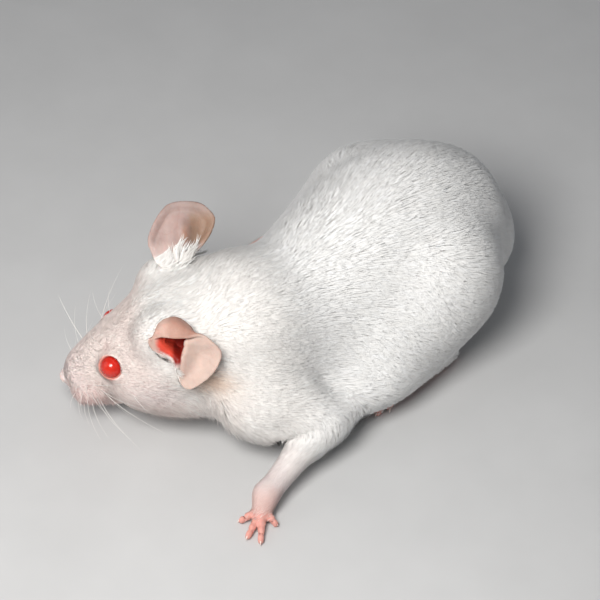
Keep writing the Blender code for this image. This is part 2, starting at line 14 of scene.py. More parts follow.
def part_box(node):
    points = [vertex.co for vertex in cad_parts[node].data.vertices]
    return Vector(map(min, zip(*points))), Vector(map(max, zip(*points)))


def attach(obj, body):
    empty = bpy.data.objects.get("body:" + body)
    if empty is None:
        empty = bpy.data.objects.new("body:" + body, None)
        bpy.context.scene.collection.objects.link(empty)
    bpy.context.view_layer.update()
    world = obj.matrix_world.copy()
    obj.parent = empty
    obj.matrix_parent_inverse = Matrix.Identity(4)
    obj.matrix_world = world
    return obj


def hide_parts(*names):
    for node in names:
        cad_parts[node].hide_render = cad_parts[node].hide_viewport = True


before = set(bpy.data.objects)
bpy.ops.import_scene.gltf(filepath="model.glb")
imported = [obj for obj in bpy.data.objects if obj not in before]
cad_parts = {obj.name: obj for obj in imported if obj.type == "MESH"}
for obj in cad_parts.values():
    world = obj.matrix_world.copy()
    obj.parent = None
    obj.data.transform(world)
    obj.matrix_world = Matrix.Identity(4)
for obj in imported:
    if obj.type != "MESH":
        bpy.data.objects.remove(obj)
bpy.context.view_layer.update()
rng = np.random.default_rng(11)

# ---- sizes of the body, as in the solids
HEAD_AT = (-1.2, 23.4, 20.6)
HEAD_YAW, HEAD_PITCH, HEAD_ROLL = -30.0, 23.5, 2.0
SKULL = [
    (24.6, -3.2, 1.4, 1.4), (23.8, -3.2, 2.5, 2.5), (22.4, -3.2, 3.5, 3.7), (19.8, -3.2, 4.6, 5.0),
    (17.0, -3.1, 5.5, 6.1), (13.5, -2.9, 6.6, 7.1), (9.5, -2.8, 7.6, 7.8), (5.0, -2.7, 8.7, 8.5),
    (0.0, -3.0, 9.8, 9.2), (-5.0, -3.4, 10.6, 10.0),
]
TRUNK = [
    (-1.6, 20.5, 17.0, 9.2, 9.0, 0.00), (0.0, 26.0, 15.4, 10.6, 10.6, 0.03), (1.2, 32.0, 14.6, 11.6, 11.8, 0.05),
    (1.4, 39.0, 15.0, 12.2, 12.8, 0.08), (0.6, 46.0, 16.0, 13.8, 14.2, 0.10), (-0.2, 54.0, 17.0, 15.4, 16.0, 0.10),
    (-1.0, 61.0, 17.4, 15.5, 16.8, 0.06), (-1.2, 67.5, 16.0, 13.8, 15.2, 0.03), (-0.8, 73.0, 13.2, 11.4, 11.6, 0.0),
    (-0.1, 76.5, 11.6, 8.9, 9.1, 0.0), (0.1, 79.1, 10.7, 6.3, 6.6, 0.0), (0.2, 80.8, 10.2, 3.7, 4.0, 0.0), (0.2, 81.5, 10.0, 1.7, 1.8, 0.0),
]
LEFT_ARM = [(9.5, 27.5, 12.5), (18.2, 33.5, 7.2), (22.6, 20.2, 3.3)]
RIGHT_ARM = [(-8.0, 32.0, 12.5), (-12.5, 37.0, 8.2), (-12.0, 27.0, 3.2)]
LEFT_PAW, RIGHT_PAW = (23.8, 18.7, 1.3), (-12.2, 24.4, 1.3)
LEFT_PAW_TURN, RIGHT_PAW_TURN = 44, 4
HIND_PAW, HIND_PAW_TURN = (13.5, 50.2, 1.3), 12
ARM_RADII = [[6.6, 4.0, 2.35, 1.8], [5.8, 3.6, 2.4, 1.9]]
FORE_DIGITS = [(-58, 3.8), (-14, 5.1), (11, 5.5), (62, 3.1)]
HIND_DIGITS = [(-34, 3.8), (-13, 5.8), (2, 6.2), (16, 5.8), (36, 4.2)]
DIGIT = 0.72
TAIL = [(-1.5, 72.5, 8.5, 2.6), (-4.6, 78.0, 5.2, 2.2), (-9.2, 80.4, 2.5, 1.8), (-15.0, 79.4, 1.35, 1.6), (-20.6, 75.2, 1.25, 1.52),
        (-24.6, 68.5, 1.15, 1.42), (-26.8, 58.5, 1.05, 1.3), (-26.4, 48.5, 0.95, 1.16), (-23.6, 39.5, 0.82, 1.0),
        (-20.8, 31.5, 0.7, 0.82), (-21.4, 24.5, 0.6, 0.65)]
EYE_AT = (5.15, -14.95, 0.1)
EYE_RADIUS = 1.75
LEFT_EAR_ROOT = (5.1, 14.5, 23.3)
RIGHT_EAR_ROOT = (-8.3, 23.3, 26.6)
RIGHT_EAR_RIM = [
    (-3.5, -0.6, -0.6), (-3.9, 1.7, -1.4), (-3.5, 3.9, -1.8), (-2.6, 6.0, -2.0), (-1.2, 7.9, -2.0), (0.3, 8.5, -1.8),
    (2.0, 8.6, -1.5), (3.9, 8.3, -1.5), (5.4, 7.2, -1.8), (6.0, 6.0, -2.0), (5.5, 4.3, -1.8), (4.6, 2.8, -1.4),
    (3.2, 0.9, -1.0), (1.5, -0.6, -0.8), (-1.1, -1.2, -0.6),
]


def turn(yaw, pitch, roll):
    """Rotation matrix: roll about the long axis, then pitch nose down, then yaw, in degrees."""
    a, b, c = np.radians([yaw, pitch, roll])
    z = np.array([[np.cos(a), -np.sin(a), 0], [np.sin(a), np.cos(a), 0], [0, 0, 1]])
    x = np.array([[1, 0, 0], [0, np.cos(b), -np.sin(b)], [0, np.sin(b), np.cos(b)]])
    y = np.array([[np.cos(c), 0, -np.sin(c)], [0, 1, 0], [np.sin(c), 0, np.cos(c)]])
    return z @ x @ y


HEAD_R = turn(HEAD_YAW, HEAD_PITCH, HEAD_ROLL)


def head_point(p):
    return np.asarray(p, float) @ HEAD_R.T + np.array(HEAD_AT)


def in_head(p):
    return (p - np.array(HEAD_AT)) @ HEAD_R


SHIFT = head_point(EYE_AT) - 500 * (np.array(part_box("eye_left")[0]) + np.array(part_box("eye_left")[1]))


def ease(x, a, b):
    t = np.clip((x - a) / (b - a), 0, 1)
    return t * t * (3 - 2 * t)


def unit(v):
    return v / np.maximum(np.linalg.norm(v, axis=-1, keepdims=True), 1e-9)


def smooth_rows(rows, n=24):
    """Rows of numbers carried through a Catmull-Rom curve, n steps to each interval."""
    r = np.array(rows, float)
    r = np.vstack([2 * r[0] - r[1], r, 2 * r[-1] - r[-2]])
    out = []
    for i in range(1, len(r) - 2):
        for t in np.arange(n) / n:
            a, b, c, d = r[i - 1:i + 3]
            out.append(0.5 * (2 * b + (c - a) * t + (2 * a - 5 * b + 4 * c - d) * t ** 2 + (3 * b - a - 3 * c + d) * t ** 3))
    return np.array(out + [r[-2]])


def loft(rows, up=(0, 0, 1), cap=1.0):
    """A body of oval sections along a spine, its far end flattened by cap. rows: centre x, y, z, half width, half height, belly fullness."""
    s = smooth_rows(rows)
    c = s[:, :3]
    t = np.gradient(c, axis=0)
    t /= np.linalg.norm(t, axis=1, keepdims=True)
    side = np.cross(t, np.asarray(up, float))
    side /= np.linalg.norm(side, axis=1, keepdims=True)
    top = np.cross(side, t)
    w, h, full = s[:, 3], s[:, 4], s[:, 5]
    cc = (c ** 2).sum(1)

    def field(p):
        out = np.empty(len(p))
        for i in range(0, len(p), 20000):
            q = p[i:i + 20000]
            near = (cc - 2 * q @ c.T).argmin(1)
            d = q - c[near]
            u, v, a = (d * side[near]).sum(1), (d * top[near]).sum(1), (d * t[near]).sum(1)
            a = np.where(near == 0, a, np.where(near == len(c) - 1, a / cap, 0.0))
            hh = h[near]
            ww = w[near] * (1 - full[near] * np.clip(v / hh, -1, 1))
            k0 = np.sqrt((u / ww) ** 2 + (v / hh) ** 2 + (a / ww) ** 2)
            k1 = np.sqrt((u / ww ** 2) ** 2 + (v / hh ** 2) ** 2 + (a / ww ** 2) ** 2)
            out[i:i + 20000] = np.where(k1 > 1e-9, k0 * (k0 - 1) / np.maximum(k1, 1e-9), -np.minimum(ww, hh))
        return out

    r = np.maximum(w, h).max()
    return field, c.min(0) - r, c.max(0) + r


def limb(points, radii):
    """A chain of tapered round lengths from joint to joint."""
    p0, r0 = np.array(points, float), np.array(radii, float)

    def field(p):
        out = np.full(len(p), 1e9)
        for a, b, ra, rb in zip(p0[:-1], p0[1:], r0[:-1], r0[1:]):
            ab = b - a
            t = np.clip(((p - a) @ ab) / (ab @ ab), 0, 1)
            out = np.minimum(out, np.linalg.norm(p - a - t[:, None] * ab, axis=1) - ra - t * (rb - ra))
        return out

    return field, (p0 - r0[:, None]).min(0), (p0 + r0[:, None]).max(0)


def oval(centre, radii, R=np.eye(3)):
    c, r = np.array(centre, float), np.array(radii, float)

    def field(p):
        q = (p - c) @ R
        k0, k1 = np.linalg.norm(q / r, axis=1), np.linalg.norm(q / r ** 2, axis=1)
        return np.where(k1 > 1e-9, k0 * (k0 - 1) / np.maximum(k1, 1e-9), -r.min())

    return field, c - r.max(), c + r.max()


def cloud(points, radii, normals=None, gap=0.0):
    """A thin sheet or ring, given by close points on it, its half thickness at each, the way it faces and the room between points."""
    tree = kdtree.KDTree(len(points))
    for i, q in enumerate(points):
        tree.insert(q, i)
    tree.balance()
    radii = np.broadcast_to(np.asarray(radii, float), len(points))

    def field(p):
        if not len(p):
            return np.zeros(0)
        near = np.array([tree.find(q)[1] for q in p])
        d = p - points[near]
        if normals is None:
            return np.linalg.norm(d, axis=1) - radii[near]
        n = normals[near]
        across = (d * n).sum(1)
        beside = np.linalg.norm(d - across[:, None] * n, axis=1)
        return np.hypot(across, np.maximum(beside - gap, 0)) - radii[near]

    return field, points.min(0) - radii.max(), points.max(0) + radii.max()


class Form:
    """Masses joined in order by smooth unions (fuse > 0) or cut away softly (cut=True)."""

    def __init__(self):
        self.masses = []

    def add(self, mass, fuse=2.0, cut=False):
        self.masses.append((*mass, fuse, cut))
        return self

    def __call__(self, p):
        d = np.full(len(p), 50.0)
        for field, lo, hi, k, cut in self.masses:
            m = ((p > lo - k - 1.5) & (p < hi + k + 1.5)).all(1)
            if not m.any():
                continue
            e, g = field(p[m]), d[m]
            if cut:
                e, g = e, -g
            x = np.maximum(k - np.abs(e - g), 0) / max(k, 1e-6)
            f = np.minimum(e, g) - x * x * k / 4
            d[m] = -f if cut else f
        return d

    def box(self):
        real = [m for m in self.masses if not m[4]]
        return np.min([m[1] for m in real], 0), np.max([m[2] for m in real], 0)


def skull_rows():
    return [(*head_point((0, -a, z)), w, h, 0.0) for a, z, w, h in SKULL]


def paw(f, at, heading, side, digits, fuse):
    x, y, z = at
    for angle, length in digits:
        t = np.radians(heading * side + angle * side)
        d = np.array((np.sin(t), -np.cos(t), 0.0))
        p = np.array((x, y, z))
        k = p + d * length * 0.62
        e = p + d * (length - DIGIT * 0.6)
        f.add(limb([tuple(p + d * 0.6), (k[0], k[1], 1.15), (e[0], e[1], 0.55)], [0.95, DIGIT, DIGIT * 0.86]), fuse)


def flesh():
    f = Form()
    f.add(loft(TRUNK, cap=0.35), 0.1)
    f.add(loft(skull_rows(), HEAD_R[:, 2]), 5.0)
    for s in (1, -1):
        f.add(oval(head_point((s * 5.2, -9.5, -5.2)), (4.3, 7.4, 5.8), HEAD_R), 2.5)   # cheek
        f.add(oval(head_point((s * 2.3, -21.0, -4.8)), (2.9, 3.5, 2.8), HEAD_R), 1.4)   # whisker pad
        f.add(oval(head_point((s * 6.3, -3.9, 4.2)), (3.3, 4.5, 3.5), HEAD_R), 3.2)   # ear root
    f.add(oval(head_point((0.0, -15.6, -7.9)), (4.1, 6.9, 3.4), HEAD_R), 2.0)   # lower jaw
    f.add(oval(head_point((2.2, -3.6, -10.1)), (7.1, 9.4, 4.4), HEAD_R), 4.0)   # throat
    for pts, rad in zip((LEFT_ARM, RIGHT_ARM), ARM_RADII):
        mid = tuple(np.array(pts[1]) * 0.55 + np.array(pts[2]) * 0.45)
        f.add(limb([pts[0], pts[1], mid, pts[2]], rad), 4.2)
    f.add(oval((12.2, 25.6, 9.4), (4.3, 4.8, 4.3), turn(0, 0, 0)), 5.0)   # breast fold before the left foreleg
    f.add(oval((5.0, 43.0, 9.5), (11.0, 9.0, 7.4), turn(0, 0, 0)), 4.0)   # belly
    f.add(limb([(17.0, 37.5, 7.0), (15.9, 42.0, 7.3), (14.8, 47.0, 7.7)], [3.4, 3.7, 4.0]), 3.0)   # fold of the flank from elbow to knee
    for s in (1, -1):
        f.add(oval((s * 11.2 - 0.2, 61.0 + 0.5 * s, 17.1 - 0.4 * s), (8.7, 10.7, 11.7), turn(s * 10, -15, 0)), 2.5)   # haunch
        f.add(oval((s * 12.0, 53.0, 11.0), (7.0, 10.5, 8.6), turn(s * 10, -10, 0)), 4.0)   # thigh to the knee
        f.add(limb([(s * 15.3, 46.5, 7.6), (s * 12.4, 60.0, 4.9)], [5.0, 2.8]), 3.0)
        f.add(limb([(s * 11.2, 61.6, 1.95), (s * 12.8, 53.6, 1.7), (s * 13.4, 50.6, 1.5)], [2.1, 1.7, 1.5]), 2.0)
        paw(f, (s * HIND_PAW[0], HIND_PAW[1], HIND_PAW[2]), HIND_PAW_TURN, s, HIND_DIGITS, 0.5)
    for arm, at, heading, s in ((LEFT_ARM, LEFT_PAW, LEFT_PAW_TURN, 1), (RIGHT_ARM, RIGHT_PAW, RIGHT_PAW_TURN, -1)):
        f.add(limb([arm[2], (at[0], at[1], 1.5)], [1.85, 1.7]), 1.5)
        paw(f, at, heading, s, FORE_DIGITS, 0.5)
    t = smooth_rows(TAIL, 5)
    f.add(limb(t[:11, :3], t[:11, 3]), 3.0)
    f.add(limb(t[10:, :3], t[10:, 3]), 0.3)
    return f


# ---- what grows where
TAIL_LINE = smooth_rows(TAIL, 5)
TAIL_RUN = np.concatenate([[0], np.cumsum(np.linalg.norm(np.diff(TAIL_LINE[:, :3], axis=0), axis=1))])
ARMS = [LEFT_ARM + [LEFT_PAW], RIGHT_ARM + [RIGHT_PAW]]
PAWS = [(LEFT_PAW, LEFT_PAW_TURN, 1, FORE_DIGITS), (RIGHT_PAW, RIGHT_PAW_TURN, -1, FORE_DIGITS), (HIND_PAW, HIND_PAW_TURN, 1, HIND_DIGITS), ((-HIND_PAW[0], HIND_PAW[1], HIND_PAW[2]), HIND_PAW_TURN, -1, HIND_DIGITS)]
EAR_TURN, EAR_TILT = 57.0, 45.0


def along(p, joints, soft=None):
    """Distance from a chain of joints, and how many joints along it the nearest place lies, blended over soft mm."""
    j = np.array(joints, float)
    best, at, total, weight = np.full(len(p), 1e9), np.zeros(len(p)), np.zeros(len(p)), np.zeros(len(p))
    for i, (a, b) in enumerate(zip(j[:-1], j[1:])):
        ab = b - a
        t = np.clip(((p - a) @ ab) / (ab @ ab), 0, 1)
        d = np.linalg.norm(p - a - t[:, None] * ab, axis=1)
        if soft:
            w = np.exp(-np.minimum(d, 60) / soft)
            total += w * (i + t)
            weight += w
        closer = d < best
        best[closer], at[closer] = d[closer], i + t[closer]
    return best, total / np.maximum(weight, 1e-30) if soft else at


def regions(p):
    """How far each place belongs to the head, arms, paws, hind feet and tail, from 0 to 1."""
    q = in_head(p)
    r = {"q": q, "ahead": -q[:, 1], "off": np.hypot(q[:, 0], q[:, 2] + 3.0)}
    r["head"] = ease(r["ahead"], -6, 4) * ease(r["off"], 16.5, 13.5)
    d, s = along(p, TAIL_LINE[:, :3])
    r["tail_run"] = np.interp(s, np.arange(len(TAIL_RUN)), TAIL_RUN)
    r["tail"] = ease(d - np.interp(s, np.arange(len(TAIL_LINE)), TAIL_LINE[:, 3]), 1.1, 0.2) * ease(s, 3.0, 9.0)
    r["arm"], r["paw"], r["foot"], r["paw_run"] = np.zeros(len(p)), np.zeros(len(p)), np.zeros(len(p)), np.zeros(len(p))
    for joints in ARMS:
        d, t = along(p, joints, 0.8)
        r["arm"] = np.maximum(r["arm"], ease(t, 0.75, 1.4) * ease(d, 7.5, 5.0))
        here = ease(t, 1.72, 2.02) * ease(d, 9.0, 7.0) * ease(p[:, 2], 6.5, 5.0)
        r["paw"] = np.maximum(r["paw"], here)
        r["paw_run"] = np.where(d < 9.0, t, r["paw_run"])
    for s in (1, -1):
        d, t = along(p, [(s * 11.2, 61.6, 1.95), (s * 12.8, 53.6, 1.7), (s * 13.4, 50.6, 1.5), (s * 13.9, 44.6, 0.8)])
        r["foot"] = np.maximum(r["foot"], ease(d, 3.6, 2.6) * ease(p[:, 2], 4.3, 3.3))
    # how far ahead of the middle of a paw each place lies
    r["reach"] = np.full(len(p), -9.0)
    for at, heading, s, digits in PAWS:
        t = np.radians(heading * s)
        d = p - np.array(at)
        r["reach"] = np.where(np.linalg.norm(d, axis=1) < 8.0, d @ np.array((np.sin(t), -np.cos(t), 0.0)) + 0.35 * np.abs(d @ np.array((np.cos(t), np.sin(t), 0.0))), r["reach"])
    return r


def coat_depth(r):
    """How deep the coat lies over the skin."""
    on_head = np.interp(r["ahead"], [0, 8, 17, 23.0, 24.9], [0.7, 0.42, 0.26, 0.20, 0.16])
    depth = 0.8 + (on_head - 0.8) * r["head"]
    depth *= (1 - 0.55 * r["arm"]) * (1 - r["paw"]) * (1 - r["foot"]) * (1 - r["tail"])
    return depth + 0.19 * r["paw"]


# ---- ears
def ear_frame():
    a, e = np.radians([EAR_TURN, EAR_TILT])
    side = np.array((np.cos(a), np.sin(a), 0.0))
    out = np.array((np.sin(a) * np.cos(e), -np.cos(a) * np.cos(e), np.sin(e)))
    return np.array([side, np.cross(out, side), out])


EAR_R = ear_frame()
# Left ear: sections from the pit out to the edge, going round it, in the ear's own side, up and out.
# The first five carry the upper edge that curls over the hollow, the next four the open lobe.
LEFT_PIT = (0.9, 0.4, -3.2)
LEFT_SECTIONS = [
    [(0.1, 0.9, -2.4), (-0.8, 1.2, -1.0), (-1.5, 1.4, 0.2), (-2.2, 1.35, 0.6), (-2.9, 1.2, 0.1)],
    [(0.3, 1.6, -2.4), (-0.5, 2.6, -0.9), (-1.6, 3.25, 0.5), (-1.75, 2.75, 1.4), (-1.6, 2.0, 1.6)],
    [(0.6, 2.2, -2.2), (0.1, 3.4, -0.7), (-0.5, 4.25, 0.7), (-0.55, 3.55, 2.1), (-0.5, 2.05, 2.6)],
    [(1.0, 2.4, -2.2), (1.0, 3.8, -0.7), (1.1, 4.45, 0.8), (1.1, 3.7, 2.5), (1.0, 1.9, 3.1)],
    [(1.9, 1.9, -2.2), (2.5, 2.9, -0.7), (2.9, 3.2, 0.9), (2.8, 2.9, 2.4), (2.7, 1.95, 3.0)],
    [(2.2, 1.1, -2.3), (3.2, 1.8, -0.7), (3.4, 2.0, 1.0), (3.9, 2.05, 2.2), (4.6, 2.05, 2.6)],
    [(2.3, 0.7, -2.4), (3.2, 0.9, -0.7), (2.55, 1.1, 1.9), (4.1, 1.0, 1.9), (6.2, 0.95, 2.35)],
    [(2.4, 0.2, -2.4), (3.2, 0.2, -0.7), (2.5, 0.3, 1.9), (4.5, -0.2, 1.0), (7.5, -0.7, 1.9)],
    [(2.3, -0.4, -2.4), (3.0, -0.6, -0.8), (2.1, -0.9, 1.6), (4.1, -1.8, 0.5), (6.6, -3.0, 1.2)],
    [(2.0, -0.6, -2.3), (2.5, -1.1, -0.8), (1.9, -2.0, 1.0), (3.1, -3.4, -0.1), (4.9, -4.7, 0.3)],
    [(1.6, -0.6, -2.2), (2.0, -1.4, -0.9), (1.75, -2.7, 0.4), (2.2, -4.3, -0.5), (2.9, -5.75, -0.5)],
    [(1.2, -0.6, -2.2), (1.6, -1.4, -1.1), (1.5, -2.4, -0.3), (1.6, -3.7, -0.7), (1.7, -4.9, -0.9)],
    [(1.0, -0.1, -2.6), (1.1, -0.6, -1.7), (1.0, -1.1, -0.8), (0.8, -1.5, -0.6), (0.4, -1.9, -1.3)],
    [(0.5, 0.2, -2.5), (0.2, 0.1, -1.5), (-0.1, -0.1, -0.6), (-0.5, -0.3, -0.25), (-1.2, -0.9, -1.0)],
    [(0.4, 0.5, -2.5), (-0.2, 0.5, -1.3), (-0.8, 0.5, -0.2), (-1.4, 0.4, 0.2), (-2.5, 0.1, -0.4)],
]
RIGHT_PIT = (0.4, 1.4, 0.6)


def round_curve(rows, n):
    """Rows of numbers carried through a closed Catmull-Rom curve, n steps to each interval."""
    r = np.array(rows, float)
    t = (np.arange(n) / n).reshape((1, -1) + (1,) * (r.ndim - 1))
    a, b, c, d = [np.roll(r, k, 0)[:, None] for k in (1, 0, -1, -2)]
    out = 0.5 * (2 * b + (c - a) * t + (2 * a - 5 * b + 4 * c - d) * t ** 2 + (3 * b - a - 3 * c + d) * t ** 3)
    return out.reshape((-1,) + r.shape[1:])


def facing(rows):
    """The way a sheet of points faces, given as rings of rows that go round it."""
    round_it = np.roll(rows, -1, 0) - np.roll(rows, 1, 0)
    return unit(np.cross(round_it, np.gradient(rows, axis=1))).reshape(-1, 3)


def left_ear():
    """Points on the left ear's sheet, their half thickness, and how far each lies from the pit to the edge."""
    rows = np.array([[LEFT_PIT] + s for s in LEFT_SECTIONS])
    rows = round_curve(rows, 18)
    fine = np.array([smooth_rows(s, 11) for s in rows])
    share = np.linspace(0, 1, fine.shape[1])
    half = np.interp(share, [0, 0.5, 0.9, 1.0], [0.34, 0.32, 0.29, 0.26])
    n = len(fine)
    return [fine.reshape(-1, 3) @ EAR_R + np.array(LEFT_EAR_ROOT), np.tile(half, n), np.tile(share, n), facing(fine) @ EAR_R]


def right_ear():
    edge = round_curve(RIGHT_EAR_RIM, 16)[:, :2]
    edge[:, 0] += np.where(edge[:, 0] < 0, 1.1, -0.5) * (1 - ease(edge[:, 1], -0.5, 3.2))   # drawn in at the root
    share = np.linspace(0, 1, 60)
    flat = np.array(RIGHT_PIT)[:2] + (edge[:, None] - np.array(RIGHT_PIT)[:2]) * share[None, :, None]
    side, up = flat[..., 0], flat[..., 1]
    out = 0.35 - 0.26 * up
    out += 1.15 * np.exp(-((side - 1.5 + 0.05 * up) / 0.95) ** 2) * ease(up, 7.4, 4.2) * ease(up, -1.5, 1.0)   # ridge
    out -= 0.95 * np.exp(-((side - 4.2) / 1.5) ** 2 - ((up - 3.9) / 2.6) ** 2)   # hollow behind it
    out -= 0.45 * np.exp(-((side + 1.4) / 1.5) ** 2 - ((up - 3.4) / 2.8) ** 2)
    out += 0.55 * ease(share, 0.80, 1.0)[None, :] * ease(up, 1.0, 4.0)   # rolled edge
    half = np.interp(share, [0, 0.5, 0.9, 1.0], [0.38, 0.32, 0.29, 0.26])
    fine = np.stack([side, up, out], -1)
    return [fine.reshape(-1, 3) @ EAR_R + np.array(RIGHT_EAR_ROOT), np.tile(half, len(edge)), np.tile(share, len(edge)), facing(fine) @ EAR_R]


LEFT_EAR, LEFT_HALF, LEFT_SHARE, LEFT_FACE = left_ear()
RIGHT_EAR, RIGHT_HALF, RIGHT_SHARE, RIGHT_FACE = right_ear()


# ---- eyes and lids
def eye_axis(s):
    return unit(np.array((s * 0.80, -0.02, 0.54))) @ HEAD_R.T


def lid_line(s):
    """The edge of the lids: an almond round the eye with a corner before and behind."""
    a = eye_axis(s)
    front = unit(HEAD_R @ np.array((0.0, -1.0, -0.10)) - (HEAD_R @ np.array((0.0, -1.0, -0.10)) @ a) * a)
    top = np.cross(a, front) * s
    t = np.linspace(0, 2 * np.pi, 72, endpoint=False)
    wide = 1.73 + 0.22 * np.abs(np.cos(t)) ** 6
    x, y = wide * np.cos(t), 1.74 * np.sin(t)
    z = 0.36 - 0.16 * np.abs(np.cos(t)) ** 4
    return head_point((s * EYE_AT[0], EYE_AT[1], EYE_AT[2])) + x[:, None] * front + y[:, None] * top + z[:, None] * a


def skin_form():
    body = flesh()
    low, high = body.box()
    f = Form().add((lambda p: body(p) + coat_depth(regions(p)), low, high), 0.1)
    for s in (1, -1):
        e = head_point((s * EYE_AT[0], EYE_AT[1], EYE_AT[2]))
        f.add(oval(e - eye_axis(s) * 0.15, (2.0, 2.0, 2.0)), 1.3)
        f.add(oval(e, (1.79, 1.79, 1.79)), 0.04, cut=True)
        f.add(oval(e + eye_axis(s) * 1.28, (2.02, 2.02, 1.75)), 0.15, cut=True)
        f.add(cloud(lid_line(s), 0.13), 0.35)
        # nostrils, and the groove between nose and upper lip
        f.add(oval(head_point((s * 1.30, -24.15, -3.2)), (0.75, 0.62, 0.6), HEAD_R), 0.6)
        f.add(oval(head_point((s * 1.62, -24.55, -4.15)), (0.75, 0.42, 0.32), HEAD_R @ turn(-s * 40, 0, s * 18)), 0.2, cut=True)
        f.add(limb([head_point((s * 3.6, -16.1, 2.6)), head_point((s * 3.9, -15.0, 3.3)), head_point((s * 4.4, -13.6, 3.6))], [0.16, 0.3, 0.12]), 0.9, cut=True)   # crease of the brow
    f.add(limb([head_point((0, -25.3, -3.9)), head_point((0, -24.8, -5.2)), head_point((0, -24.2, -6.9))], [0.12, 0.18, 0.2]), 0.35, cut=True)
    for s in (1, -1):
        mouth = [(0, -24.5, -6.7), (s * 1.7, -23.9, -7.0), (s * 3.2, -22.2, -7.3), (s * 3.9, -20.0, -7.6), (s * 4.0, -18.2, -7.7)]
        f.add(limb([head_point(m) for m in mouth], [0.2, 0.24, 0.24, 0.2, 0.12]), 0.4, cut=True)
    f.add(oval(np.array((0.9, 0.5, -1.2)) @ EAR_R + np.array(LEFT_EAR_ROOT), (2.2, 2.0, 2.0), EAR_R.T), 0.3, cut=True)
    f.add(cloud(LEFT_EAR, LEFT_HALF, LEFT_FACE, 0.1), 0.35)
    f.add(cloud(RIGHT_EAR, RIGHT_HALF, RIGHT_FACE, 0.1), 0.9)
    for at, heading, s, digits in PAWS:
        thin = 0.19 if digits is FORE_DIGITS else 0.0
        for angle, reach in digits:
            t = np.radians(heading * s + angle * s)
            d, p = np.array((np.sin(t), -np.cos(t), 0.0)), np.array(at)
            for share, size, z in ((0.42, 0.62, 1.62), (0.62, 0.60, 1.42), (0.86, 0.55, 1.0)):   # knuckles
                f.add(oval(p + d * reach * share + np.array((0, 0, z - at[2] - thin)), (size - thin, size - thin, 0.42)), 0.3)
            for share in (0.52, 0.74):   # creases between them
                q = p + d * reach * share
                c = np.array((-d[1], d[0], 0.0))
                f.add(limb([(q[0] - c[0] * 0.8, q[1] - c[1] * 0.8, 0.9), (q[0], q[1], 2.06 - thin - 0.9 * share), (q[0] + c[0] * 0.8, q[1] + c[1] * 0.8, 0.9)], [0.06, 0.10, 0.06]), 0.25, cut=True)
    # a soft fold where the neck turns
    f.add(limb([(-12.6, 30.0, 20.0), (-9.5, 31.5, 26.2), (-3.5, 33.0, 29.0)], [0.3, 0.5, 0.2]), 2.4, cut=True)
    return f


# ---- the skin's surface
def spaced(low, high, at, steps):
    """Grid lines from low to past high, as close as steps says at the places at."""
    out = [low]
    while out[-1] < high or len(out) % 4:
        out.append(out[-1] + np.interp(out[-1], at, steps))
    return np.array(out)


def sample(form, lines):
    """The form's field at the grid's crossings. Far from the surface only a coarse value is kept."""
    size = [len(a) for a in lines]
    D = None
    keep = np.ones([s // 4 for s in size], bool)
    for k, reach in ((4, 2.6), (2, 1.25), (1, 99.0)):
        cells = np.argwhere(keep)
        at = np.stack([np.interp(cells[:, i] * k + (k - 1) / 2, np.arange(size[i]), lines[i]) for i in range(3)], 1)
        value = np.concatenate([form(at[i:i + 100000]) for i in range(0, len(at), 100000)])
        here = np.zeros(keep.shape)
        if D is not None:
            here[...] = D
        here[tuple(cells.T)] = value
        if k == 1:
            return here
        near = np.zeros(keep.shape, bool)
        near[tuple(cells.T)] = np.abs(value) < reach
        up = lambda a: np.repeat(np.repeat(np.repeat(a, 2, 0), 2, 1), 2, 2)
        if k == 4:   # the finer blocks within a near one are looked at
            keep, D = up(near), up(here)
        else:
            keep, D = up(near), up(here)


def unpinched(D):
    """The samples with no square of four that alternates in and out, where a surface would touch itself."""
    for i in range(20):
        found = 0
        for b, c in ((0, 1), (0, 2), (1, 2)):
            part = lambda u, v: tuple(slice(d, D.shape[k] - 1 + d) if k in (b, c) else slice(None) for k, d in ((k, u if k == b else v) for k in range(3)))
            four = [D[part(u, v)] for u, v in ((0, 0), (0, 1), (1, 0), (1, 1))]
            inside = [f < 0 for f in four]
            bad = np.argwhere((inside[0] == inside[3]) & (inside[1] == inside[2]) & (inside[0] != inside[1]))
            found += len(bad)
            for at in bad:
                corners = []
                for u, v in ((0, 0), (0, 1), (1, 0), (1, 1)):
                    q = at.copy()
                    q[b] += u
                    q[c] += v
                    corners.append(tuple(q))
                least = min(corners, key=lambda q: abs(D[q]))
                D[least] = -0.03 if D[least] >= 0 else 0.03
        if not found:
            break
    return D


